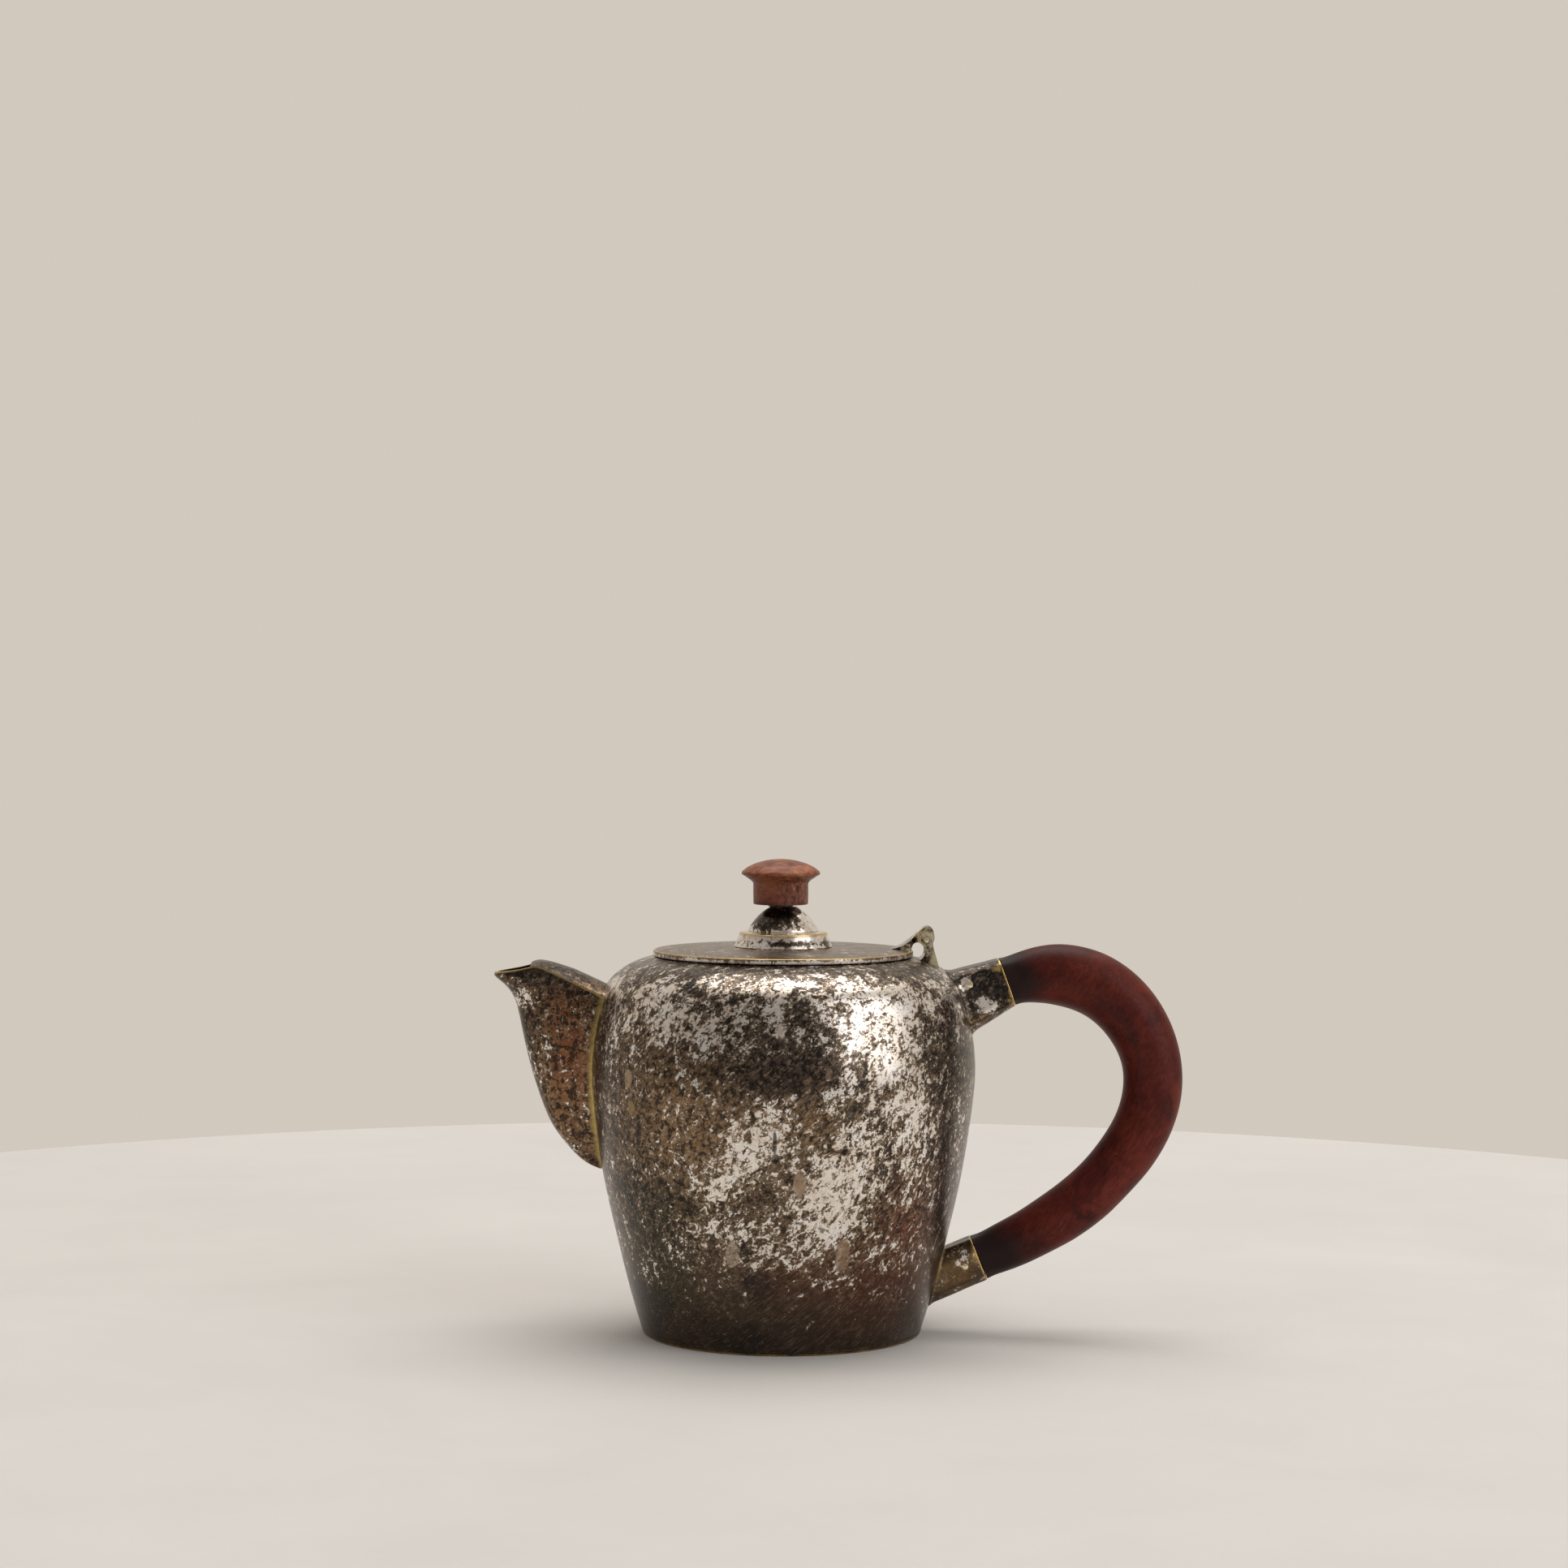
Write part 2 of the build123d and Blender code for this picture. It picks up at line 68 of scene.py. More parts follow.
KNOB_LOW, KNOB_HIGH = (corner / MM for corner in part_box("knob"))
KNOB_X = (KNOB_LOW.x + KNOB_HIGH.x) / 2
SEAT_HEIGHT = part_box("mouth_ring")[1].z / MM
COLLAR_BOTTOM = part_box("mouth_ring")[0].z / MM
MOUTH_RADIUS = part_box("mouth_ring")[1].x / MM
SPOUT_TIP_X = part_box("spout_channel")[0].x / MM
HINGE = Vector(frame["joints"][0]["pos_m"]) / MM
PIN_RADIUS = (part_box("hinge_pin")[1].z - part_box("hinge_pin")[0].z) / MM / 2
HINGE_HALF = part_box("hinge_body_leaf")[1].y / MM

# Sizes that no box gives
WALL = 1.2
COLLAR_BORE = 33.0
SEAT_RADIUS = 36.3
SHOULDER_TOP = 109.5
STRAINER_HOLE_RADIUS = 1.5
STRAINER_PITCH = 5.0
STRAINER_ROWS = ((64.0, 2), (68.5, 3), (73.0, 2), (77.5, 3), (82.0, 2), (86.5, 3), (91.0, 2))
STRAINER_DRILL = (-62, -44)

# The vessel's outer line from foot to mouth, as (radius, height)
FLANK = [(40.9, FOOT_TOP), (42.8, 7.4), (45.6, 17.6), (48.4, 28.8), (50.9, 39.0), (53.4, 52.5),
         (55.4, 66.8), (56.15, 76.2), (55.6, 85.7), (52.9, 98.0), (51.1, 102.0), (48.3, 104.9),
         (43.2, 107.9), (MOUTH_RADIUS, SHOULDER_TOP)]


# -------------------- lines and meshes
def smooth_line(points, count):
    """A natural cubic spline through the points, as count evenly spaced places."""
    p = np.array(points, float)
    t = np.concatenate([[0.0], np.cumsum(np.linalg.norm(np.diff(p, axis=0), axis=1))])
    h = np.diff(t)
    n = len(p)
    left = np.eye(n)
    right = np.zeros_like(p)
    for i in range(1, n - 1):
        left[i, i - 1:i + 2] = h[i - 1], 2 * (h[i - 1] + h[i]), h[i]
        right[i] = 6 * ((p[i + 1] - p[i]) / h[i] - (p[i] - p[i - 1]) / h[i - 1])
    bend = np.linalg.solve(left, right)
    s = np.linspace(0, t[-1], count)
    k = np.clip(np.searchsorted(t, s, "right") - 1, 0, n - 2)
    done, togo, step = (s - t[k])[:, None], (t[k + 1] - s)[:, None], h[k][:, None]
    cubic = (bend[k] * togo**3 + bend[k + 1] * done**3) / (6 * step)
    leaving = (p[k] / step - bend[k] * step / 6) * togo
    coming = (p[k + 1] / step - bend[k + 1] * step / 6) * done
    return cubic + leaving + coming


def curve(points, count):
    """The same spline as a list of points for an outline."""
    return [tuple(p) for p in smooth_line(points, count)]


def clamp(value):
    """The value held between 0 and 1."""
    return min(max(value, 0.0), 1.0)


def near(value, target, reach):
    """1 where value is at target, falling to 0 at reach from it."""
    return max(0.0, 1.0 - abs(value - target) / reach)


def radius_of(point):
    return (point.x**2 + point.y**2) ** 0.5


def in_mm(box):
    """A box's two corners in millimetres."""
    return [corner / MM for corner in box]


def rounded(corners, radius, steps=4):
    """A closed outline whose corners are eased over radius, or over less where a side is short."""
    eased = []
    count = len(corners)
    for i, corner in enumerate(corners):
        here = np.array(corner, float)
        ends = []
        for other in (corners[i - 1], corners[(i + 1) % count]):
            side = np.array(other, float) - here
            length = np.linalg.norm(side)
            ends.append(here + side / length * min(radius, 0.45 * length))
        for k in range(steps + 1):
            u = k / steps
            eased.append(tuple((1 - u) ** 2 * ends[0] + 2 * u * (1 - u) * here + u**2 * ends[1]))
    return eased


def finish_mesh(name, bm, sharp=35):
    """A shaded object from a bmesh in millimetres, smooth but for edges over sharp degrees."""
    bmesh.ops.remove_doubles(bm, verts=bm.verts, dist=1e-5)
    bmesh.ops.recalc_face_normals(bm, faces=bm.faces)
    bmesh.ops.scale(bm, vec=(MM, MM, MM), verts=bm.verts)
    mesh = bpy.data.meshes.new(name)
    bm.to_mesh(mesh)
    bm.free()
    mesh.shade_smooth()
    mesh.set_sharp_from_angle(angle=radians(sharp))
    piece = bpy.data.objects.new(name, mesh)
    bpy.context.scene.collection.objects.link(piece)
    return piece


def lathe(name, outline, segments=192, centre=(0.0, 0.0), sharp=35):
    """A closed outline of (radius, height) turned about an upright axis."""
    bm = bmesh.new()
    rings = []
    for r, z in outline:
        if r < 1e-6:
            rings.append([bm.verts.new((centre[0], centre[1], z))] * segments)
            continue
        ring = []
        for k in range(segments):
            a = 2 * pi * k / segments
            ring.append(bm.verts.new((centre[0] + r * cos(a), centre[1] + r * sin(a), z)))
        rings.append(ring)
    for low, high in zip(rings, rings[1:] + rings[:1]):
        for k in range(segments):
            n = (k + 1) % segments
            face = list(dict.fromkeys((low[k], low[n], high[n], high[k])))
            if len(face) > 2:
                bm.faces.new(face)
    return finish_mesh(name, bm, sharp)


def skin(bm, grid, loop=False):
    """Faces over a grid of points, closed round its columns if loop. Returns the vertices."""
    verts = [[bm.verts.new(p) for p in row] for row in grid]
    for low, high in zip(verts, verts[1:]):
        columns = len(low) if loop else len(low) - 1
        for k in range(columns):
            n = (k + 1) % len(low)
            bm.faces.new((low[k], low[n], high[n], high[k]))
    return verts


def bridge(bm, first, second):
    """A strip of faces between two equal runs of vertices."""
    for k in range(len(first) - 1):
        bm.faces.new((first[k], first[k + 1], second[k + 1], second[k]))


def prism(name, outline, half_width, plane="XZ", base=0.0):
    """An outline pushed half_width both ways from base, across the plane it lies in."""
    bm = bmesh.new()
    sides = []
    for offset in (-half_width, half_width):
        if plane == "XZ":
            sides.append([bm.verts.new((x, base + offset, z)) for x, z in outline])
        else:
            sides.append([bm.verts.new((x, y, base + offset)) for x, y in outline])
    bm.faces.new(sides[0])
    bm.faces.new(sides[1][::-1])
    for k in range(len(outline)):
        n = (k + 1) % len(outline)
        bm.faces.new((sides[0][k], sides[0][n], sides[1][n], sides[1][k]))
    return finish_mesh(name, bm)


def circle(x, y, radius, steps=48, start=0.0, end=360.0):
    """Points round a circle, or along an arc of it."""
    whole = end - start >= 360
    return [(x + radius * cos(radians(start + (end - start) * k / steps)),
             y + radius * sin(radians(start + (end - start) * k / steps)))
            for k in range(steps if whole else steps + 1)]


def carve(piece, tool, operation):
    """Boolean of two pieces, applied; the tool goes."""
    modifier = piece.modifiers.new("carve", "BOOLEAN")
    modifier.object = tool
    modifier.operation = operation
    modifier.solver = "EXACT"
    apply_modifiers(piece)
    bpy.data.objects.remove(tool)


def apply_modifiers(piece):
    """Puts what the modifiers make in place of the piece's mesh."""
    graph = bpy.context.evaluated_depsgraph_get()
    piece.data = bpy.data.meshes.new_from_object(piece.evaluated_get(graph))
    piece.modifiers.clear()


def soften_edges(piece, width, segments=3, angle=40):
    """Rounds a piece's sharp edges over width, in millimetres."""
    modifier = piece.modifiers.new("soften", "BEVEL")
    modifier.width = width * MM
    modifier.segments = segments
    modifier.limit_method = "ANGLE"
    modifier.angle_limit = radians(angle)
    modifier.harden_normals = True
    apply_modifiers(piece)


def dent(piece, depth, size, where=None):
    """Wear and knocks: hollows in patches of size that never stand proud of the surface.

    Their depth goes with depth, times where(point) if that is given.
    """
    gain, ease = 0.6, 0.01
    normals = [v.normal.copy() for v in piece.data.vertices]
    for vertex, normal in zip(piece.data.vertices, normals):
        share = 1.0 if where is None else where(vertex.co / MM)
        value = noise.noise(vertex.co / MM / size)
        hollow = gain * ((value * value + ease) ** 0.5 - value)
        vertex.co -= normal * (hollow * depth * share * MM)


def wear(piece, amount):
    """Writes how worn each vertex is, from 0 to 1, as the attribute that the metals read."""
    values = [clamp(amount(v.co / MM)) for v in piece.data.vertices]
    layer = piece.data.attributes.new("wear", "FLOAT", "POINT")
    layer.data.foreach_set("value", values)


def place(piece, body, slot_name, material, *nodes):
    """Puts a finished piece on its body, with its finish, in place of its CAD nodes."""
    piece.data.materials.clear()
    for item in material if isinstance(material, tuple) else (material,):
        piece.data.materials.append(item)
    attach(piece, body)
    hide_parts(*nodes)


flank_line = smooth_line(FLANK, 150)


def vessel_radius(z):
    """The vessel's outer radius at a height."""
    return float(np.interp(z, flank_line[:, 1], flank_line[:, 0]))


# -------------------- materials
# Where a patch is centred in Y, and how deep it is: these keep it to one side of the pot
FRONT = (-45.0, 60.0)
BACK = (45.0, 60.0)


def sided(side, *patches):
    """The patches kept to one side."""
    return [(*patch, *side) for patch in patches]


class Shader:
    """A material under construction: its methods add nodes and return their output."""

    def __init__(self, name):
        self.material = bpy.data.materials.new(name)
        self.material.use_nodes = True
        self.nodes = self.material.node_tree.nodes
        self.links = self.material.node_tree.links
        self.nodes.clear()
        self.surface = self.nodes.new("ShaderNodeBsdfPrincipled")
        out = self.nodes.new("ShaderNodeOutputMaterial")
        self.links.new(self.surface.outputs["BSDF"], out.inputs["Surface"])
        coords = self.add("TexCoord", "Object")
        self.place = self.add("VectorMath", 0, {0: coords, "Scale": 1 / MM}, operation="SCALE")
        self.x, self.y, self.z = (self.add("SeparateXYZ", axis, {0: self.place}) for axis in "XYZ")

    def plug(self, value, socket):
        """Links an output to the socket, or sets the socket to a number or colour."""
        if isinstance(value, bpy.types.NodeSocket):
            self.links.new(value, socket)
        else:
            socket.default_value = value

    def add(self, kind, output=0, inputs=None, **settings):
        """Adds a node with these settings, fills its inputs and returns one of its outputs."""
        node = self.nodes.new("ShaderNode" + kind)
        for key, value in settings.items():
            setattr(node, key, value)
        for key, value in (inputs or {}).items():
            self.plug(value, node.inputs[key])
        return node.outputs[output]

    def stretch(self, size, turn=0.0, shift=(0, 0, 0)):
        """The place measured from shift, along axes turned about Y (degrees), in units of size."""
        return self.add("Mapping", 0, {"Vector": self.place, "Location": shift, "Scale": size,
                                       "Rotation": (0, radians(turn), 0)}, vector_type="TEXTURE")

    def noise(self, size, detail, rough, warp=0.0, vector=None):
        """Fractal noise whose largest features are about size millimetres."""
        vector = self.place if vector is None else vector
        return self.add("TexNoise", "Fac", {"Vector": vector, "Scale": 1 / size, "Detail": detail,
                                            "Roughness": rough, "Distortion": warp})

    def cells(self, size):
        """The distance to the middle of the nearest of scattered cells."""
        return self.add("TexVoronoi", "Distance", {"Vector": self.place, "Scale": 1 / size})

    def math(self, operation, a, b):
        return self.add("Math", 0, {0: a, 1: b}, operation=operation)

    def times(self, a, b):
        return self.math("MULTIPLY", a, b)

    def total(self, start, *terms):
        """The start plus weighted (value, weight) pairs."""
        result = start
        for value, weight in terms:
            result = self.math("ADD", self.times(value, weight), result)
        return result

    def step(self, value, low, high, at_low=0.0, at_high=1.0):
        """A smooth step from at_low to at_high as value goes from low to high."""
        return self.add("MapRange", 0, {"Value": value, "From Min": low, "From Max": high, "To Min": at_low,
                                        "To Max": at_high}, interpolation_type="SMOOTHSTEP")

    def blend(self, share, a, b):
        """Mixes two colours."""
        node = self.nodes.new("ShaderNodeMix")
        node.data_type = "RGBA"
        self.plug(share, node.inputs["Factor"])
        for key, colour in (("A", a), ("B", b)):
            socket = next(s for s in node.inputs if s.name == key and s.type == "RGBA")
            self.plug(colour if isinstance(colour, bpy.types.NodeSocket) else (*colour, 1.0), socket)
        return next(s for s in node.outputs if s.type == "RGBA")

    def ramp(self, value, *stops):
        """Colours by (position, colour) stops."""
        node = self.nodes.new("ShaderNodeValToRGB")
        elements = node.color_ramp.elements
        while len(elements) < len(stops):
            elements.new(0.5)
        for element, (position, colour) in zip(elements, stops):
            element.position = position
            element.color = (*colour, 1.0)
        self.links.new(value, node.inputs["Fac"])
        return node.outputs["Color"]

    def spot(self, x, z, wide, high, strength, y=0.0, deep=1e6):
        """A soft patch, at full strength at its centre and gone at its edge, wide and high each way."""
        away = self.stretch((wide, deep, high), 0, (x, y, z))
        length = self.add("VectorMath", "Value", {0: away}, operation="LENGTH")
        return self.step(length, 0.0, 1.0, strength, 0.0)

    def worn(self):
        """The attribute that wear() writes."""
        return self.add("Attribute", "Fac", attribute_name="wear")

    def bump(self, height, depth, strength, under=None):
        """A bump whose full height is depth millimetres, on top of the bump under it."""
        inputs = {"Height": height, "Distance": depth * MM, "Strength": strength}
        if under is not None:
            inputs["Normal"] = under
        return self.add("Bump", "Normal", inputs)

    def give(self, **sockets):
        """Fills the surface's sockets and returns the material."""
        names = {"colour": "Base Color", "rough": "Roughness", "metal": "Metallic", "normal": "Normal",
                 "specular": "Specular IOR Level"}
        for key, value in sockets.items():
            self.plug(value, self.surface.inputs[names[key]])
        return self.material


SILVER = (0.82, 0.73, 0.635)
PALE_SILVER = (0.93, 0.905, 0.87)
WARM_SILVER = (0.66, 0.54, 0.42)
TAN = (0.40, 0.30, 0.20)
FRECKLE = (0.42, 0.30, 0.195)
OCHRE = (0.24, 0.145, 0.074)
BROWN = (0.105, 0.070, 0.046)
DARK_BROWN = (0.050, 0.037, 0.029)
SLATE = (0.042, 0.042, 0.042)
RED_BROWN = (0.105, 0.036, 0.022)
GREEN_BLACK = (0.036, 0.041, 0.026)
PITCH = (0.018, 0.016, 0.015)
GOLD = (0.60, 0.41, 0.14)
BRASS = (0.52, 0.43, 0.27)
RUBBED_BRASS = (0.95, 0.83, 0.56)
DRIP_SPREAD = 1.3


def plate(name, tarnish, level, spots=(), stains_and_shade=(), marks=(), band=0.0, streaks=0.0, hatch=1.0,
          freckle=0.5, fleck=1.9, pitted=0.85, soot=0.85, rough=0.2, gold=GOLD):
    """Silver plate gone dark with tarnish and rubbed bright again in ragged flakes and specks.

    tarnish is the ramp of its dark colours, and gold what shows where the piece is worn.
    level sets how much is bright: 0 is half, and each 0.07 more or less is about a third of the rest.
    spots add to it in round places, stain patches tint the tarnish there (the body's dark left edge among
    them is painted shade, not tarnish), and marks are crisp drips in front.
    band strengthens flakes along the shoulder, streaks those that run down the flank, freckle the
    tarnish's pale specks, pitted the dark pits in bright metal, and soot the black. fleck is the size
    of the flakes, and hatch how far they and the scratches are drawn out along a slant.
    """
    s = Shader(name)
    broad = s.noise(32, 3, 0.5)
    patchy = s.noise(8, 7, 0.64, 0.4, s.stretch((1, 1, 1), 0, (41, 9, 73)))
    speckle = s.noise(fleck, 5, 0.7, 0.5, s.stretch((1.0 + 0.6 * hatch, 1.0, 1.0), -45))
    grain = s.noise(0.8, 3, 0.7, 0.0, s.stretch((1, 1, 1), 0, (7, 19, 3)))
    pits = s.noise(1.5, 5, 0.72, 0.4, s.stretch((1.0 + 0.5 * hatch, 1, 1), -50, (23, 5, 61)))

    bright_level = s.total(level, (speckle, 0.62), (grain, 0.30), (patchy, 0.30), (broad, 0.12))
    for patch in spots:
        bright_level = s.math("ADD", s.spot(*patch), bright_level)
    if band:
        shoulder = s.times(s.step(s.z, 82, 98), s.step(s.z, 107.8, 104.5))
        lying = s.noise(3.6, 8, 0.72, 0.5, s.stretch((1.6, 1.6, 0.85)))
        flakes = s.times(shoulder, s.math("SUBTRACT", lying, 0.38))
        bright_level = s.total(bright_level, (flakes, band))
    if streaks:
        flank = s.spot(32, 60, 26, 44, streaks, *FRONT)
        running = s.noise(1.7, 6, 0.7, 0.15, s.stretch((0.9, 0.9, 4.5)))
        flakes = s.times(flank, s.math("SUBTRACT", running, 0.5))
        bright_level = s.math("ADD", flakes, bright_level)
    unpitted = s.step(pits, 0.56, 0.585, 1.0, 1.0 - pitted)
    bright = s.times(s.step(bright_level, 0.664, 0.676), unpitted)

    ground = s.ramp(s.total(0.0, (broad, 0.55), (patchy, 0.45)), *tarnish)
    for x, z, wide, high, strength, colour, *side in stains_and_shade:
        ground = s.blend(s.spot(x, z, wide, high, strength, *side), ground, colour)
    freckles = s.noise(1.0, 3, 0.72, 0.0, s.stretch((1.0 + 2.2 * hatch, 1.0, 0.8), -42, (3, 2, 1)))
    above_base = s.step(s.z, 14, 54, 0.1, 1.0)
    freckled = s.times(above_base, s.step(freckles, 0.52, 0.60, 0.0, freckle))
    ground = s.blend(freckled, ground, FRECKLE)
    scratches = s.noise(1.0, 2, 0.5, 0.0, s.stretch((7.0, 1.0, 0.28), -38, (5, 1, 9)))
    ground = s.blend(s.times(s.step(scratches, 0.60, 0.66, 0.0, 0.35), hatch), ground, TAN)
    above_base = s.step(s.z, 14, 44, 0.3, 1.0)
    sooty = s.times(above_base, s.step(s.noise(1.8, 5, 0.72, 0.4), 0.515, 0.46, 0.0, soot))
    ground = s.blend(sooty, ground, PITCH)
    haze = s.step(bright_level, 0.57, 0.668)
    ground = s.blend(s.times(haze, 0.3), ground, TAN)

    silver = s.ramp(s.total(0.0, (patchy, 0.6), (grain, 0.4)),
                    (0.36, WARM_SILVER), (0.48, SILVER), (0.62, PALE_SILVER))
    colour = s.blend(bright, ground, silver)
    for x, z, wide, high, tone in marks:
        drip = s.spot(x, z, wide * DRIP_SPREAD, high * DRIP_SPREAD, 1.0, *FRONT)
        edge = s.total(-0.2, (drip, 1.0), (grain, 0.5), (speckle, 0.3))
        unbroken = s.step(pits, 0.53, 0.58, 1.0, 0.35)
        colour = s.blend(s.times(s.step(edge, 0.60, 0.82, 0.0, 0.85), unbroken), colour, tone)
    rubbed = s.step(s.total(0.0, (s.worn(), 0.85), (patchy, 0.45), (grain, 0.25)), 0.62, 1.05)
    colour = s.blend(rubbed, colour, gold)

    gloss = s.total(rough, (grain, 0.22), (broad, 0.06))
    gloss = s.math("SUBTRACT", gloss, s.times(rubbed, 0.05))
    normal = s.bump(bright_level, 0.05, 0.35)
    normal = s.bump(speckle, 0.05, 0.35, normal)
    return s.give(colour=colour, metal=0.92, rough=gloss, normal=normal)


def body_plate():
    spots = [
        *sided(FRONT, (27, 86, 22, 22, 0.08), (33, 66, 26, 34, 0.075), (16, 48, 15, 34, 0.11),
               (-8, 62, 18, 16, 0.11), (-17, 50, 12, 12, 0.09), (6, 46, 11, 10, 0.05),
               (-6, 33, 32, 12, 0.07), (1, 81, 18, 9, -0.08)),
        (0, 0, 100, 28, -0.13),
        *sided(FRONT, (-22, 91, 22, 11, 0.06), (-38, 48, 18, 40, -0.015), (-2, 72, 12, 7, 0.04)),
        *sided(BACK, (-30, 84, 30, 22, 0.13), (20, 60, 26, 30, 0.11), (6, 92, 26, 14, 0.07))]
    stains_and_shade = [
        *sided(FRONT, (-26, 67, 30, 32, 0.85, OCHRE), (6, 68, 18, 16, 0.5, OCHRE),
               (2, 84, 30, 16, 0.8, (0.105, 0.076, 0.066)), (26, 20, 30, 30, 0.85, RED_BROWN),
               (2, 24, 16, 14, 0.5, RED_BROWN), (37, 36, 14, 26, 0.95, (0.15, 0.050, 0.028)),
               (-38, 26, 24, 38, 0.9, GREEN_BLACK)),
        # painted shade: the dark brown down the body's left edge (x -58) stands in for the darker reflection
        # along that edge
        (-58, 70, 15, 60, 0.9, DARK_BROWN), (0, 104, 90, 12, 0.75, SLATE),
        (0, 0, 90, 30, 0.7, DARK_BROWN),
        *sided(BACK, (30, 55, 30, 30, 0.5, OCHRE))]
    marks = ((-43.5, 77.5, 1.9, 4.2, (0.42, 0.31, 0.20)), (-42.6, 69.0, 1.7, 3.4, (0.30, 0.20, 0.09)),
             (-1.9, 57.4, 1.6, 2.4, PITCH), (-2.1, 62.0, 0.9, 5.5, PITCH),
             (-13.8, 29.8, 3.0, 6.0, (0.40, 0.32, 0.24)), (4.8, 49.8, 3.0, 6.0, (0.36, 0.26, 0.18)),
             (17.0, 29.5, 3.2, 7.5, (0.30, 0.20, 0.13)))
    return plate(
        "tarnished_plate_body",
        ((0.36, SLATE), (0.43, DARK_BROWN), (0.5, BROWN), (0.57, BROWN), (0.65, DARK_BROWN)),
        -0.076, spots, stains_and_shade, marks, band=0.55, streaks=0.42, freckle=0.55, rough=0.16)


def spout_plate():
    return plate(
        "tarnished_plate_spout",
        ((0.38, DARK_BROWN), (0.46, (0.10, 0.055, 0.032)), (0.54, OCHRE), (0.62, DARK_BROWN)),
        -0.118,
        spots=((-77, 98, 9, 8, 0.09), (-62, 56, 10, 14, 0.04), (-62, 103, 18, 7, -0.06),
               (-72, 84, 9, 20, 0.05)),
        stains_and_shade=((-62, 84, 11, 34, 0.85, (0.24, 0.085, 0.036)), (-75, 82, 9, 34, 0.6, DARK_BROWN),
                (-66, 104.5, 22, 8, 0.85, SLATE)),
        hatch=0.2, rough=0.16, gold=(0.50, 0.37, 0.13))


def lid_plate_metal():
    return plate(
        "scuffed_plate_lid",
        ((0.38, (0.12, 0.095, 0.075)), (0.5, (0.20, 0.155, 0.125)), (0.62, (0.135, 0.10, 0.08))),
        -0.088,
        spots=((0, 110.2, 400, 1.3, 0.13, 0, 400),),
        hatch=0.3, pitted=0.5, soot=0.3, rough=0.2)


def drum_metal():
    return plate(
        "bright_plate_drum",
        ((0.38, SLATE), (0.5, DARK_BROWN), (0.62, SLATE)),
        0.05,
        spots=((-3, 121.4, 12, 5.5, -0.27), (2, 114.0, 20, 1.4, -0.11), (10, 119.5, 8, 4, 0.14),
               (0, 116.2, 30, 0.9, 0.1)),
        hatch=0.0, fleck=3.2, pitted=0.6, rough=0.08)


def socket_plate():
    return plate(
        "blackened_plate_sockets",
        ((0.38, SLATE), (0.5, DARK_BROWN), (0.6, (0.10, 0.075, 0.05))),
        -0.12,
        spots=((58.6, 96.0, 5, 4.5, 0.26), (53, 102.5, 3.6, 3.6, 0.3), (60, 90.5, 9, 4, 0.06),
               (53, 23, 10, 5, 0.08)),
        stains_and_shade=((50, 19, 12, 12, 0.85, (0.22, 0.13, 0.055)), (60, 90.5, 12, 5, 0.8, OCHRE),
                (66.4, 98.4, 1.6, 3.6, 1.3, GOLD), (62.6, 106.6, 3.2, 1.5, 1.1, GOLD),
                (56.5, 23.5, 2.4, 3.6, 1.2, GOLD)),
        hatch=0.2, rough=0.18)


def worn_brass():
    """Hinge metal: plate rubbed through to yellow brass, dark in its hollows."""
    s = Shader("worn_brass_hinge")
    patches = s.noise(2.4, 6, 0.65, 0.3)
    grain = s.noise(0.5, 4, 0.6)
    colour = s.ramp(patches, (0.40, PITCH), (0.47, (0.10, 0.07, 0.042)), (0.53, BRASS),
                    (0.62, (0.88, 0.80, 0.66)))
    edges = s.step(s.total(0.0, (s.worn(), 0.8), (grain, 0.4)), 0.45, 0.75, 0.0, 0.95)
    colour = s.blend(edges, colour, RUBBED_BRASS)
    rough = s.total(0.16, (grain, 0.22), (patches, -0.1))
    normal = s.bump(s.total(0.0, (patches, 0.6), (grain, 0.4)), 0.06, 0.5)
    return s.give(colour=colour, metal=0.95, rough=rough, normal=normal)


def dull_steel():
    """The knob's collar, stud, nut and washer."""
    s = Shader("dull_steel")
    grain = s.noise(0.7, 5, 0.65)
    colour = s.ramp(grain, (0.3, (0.04, 0.034, 0.03)), (0.55, (0.13, 0.115, 0.10)),
                    (0.75, (0.3, 0.26, 0.22)))
    rough = s.total(0.25, (grain, 0.3))
    return s.give(colour=colour, metal=0.9, rough=rough, normal=s.bump(grain, 0.04, 0.5))


def stained_inside():
    """The inside of the pot: plate gone brown and matt with tea, in rings at the levels it stood."""
    s = Shader("tea_stained_inside")
    levels = s.noise(9, 6, 0.6, 0.5, s.stretch((3.3, 3.3, 0.42)))
    patches = s.noise(6, 8, 0.65, 0.4)
    mixed = s.total(0.0, (levels, 0.5), (patches, 0.5))
    colour = s.ramp(mixed, (0.38, (0.06, 0.036, 0.022)), (0.5, (0.16, 0.10, 0.058)),
                    (0.61, (0.34, 0.27, 0.20)))
    rough = s.total(0.3, (patches, 0.35))
    return s.give(colour=colour, metal=0.75, rough=rough, normal=s.bump(patches, 0.08, 0.5))


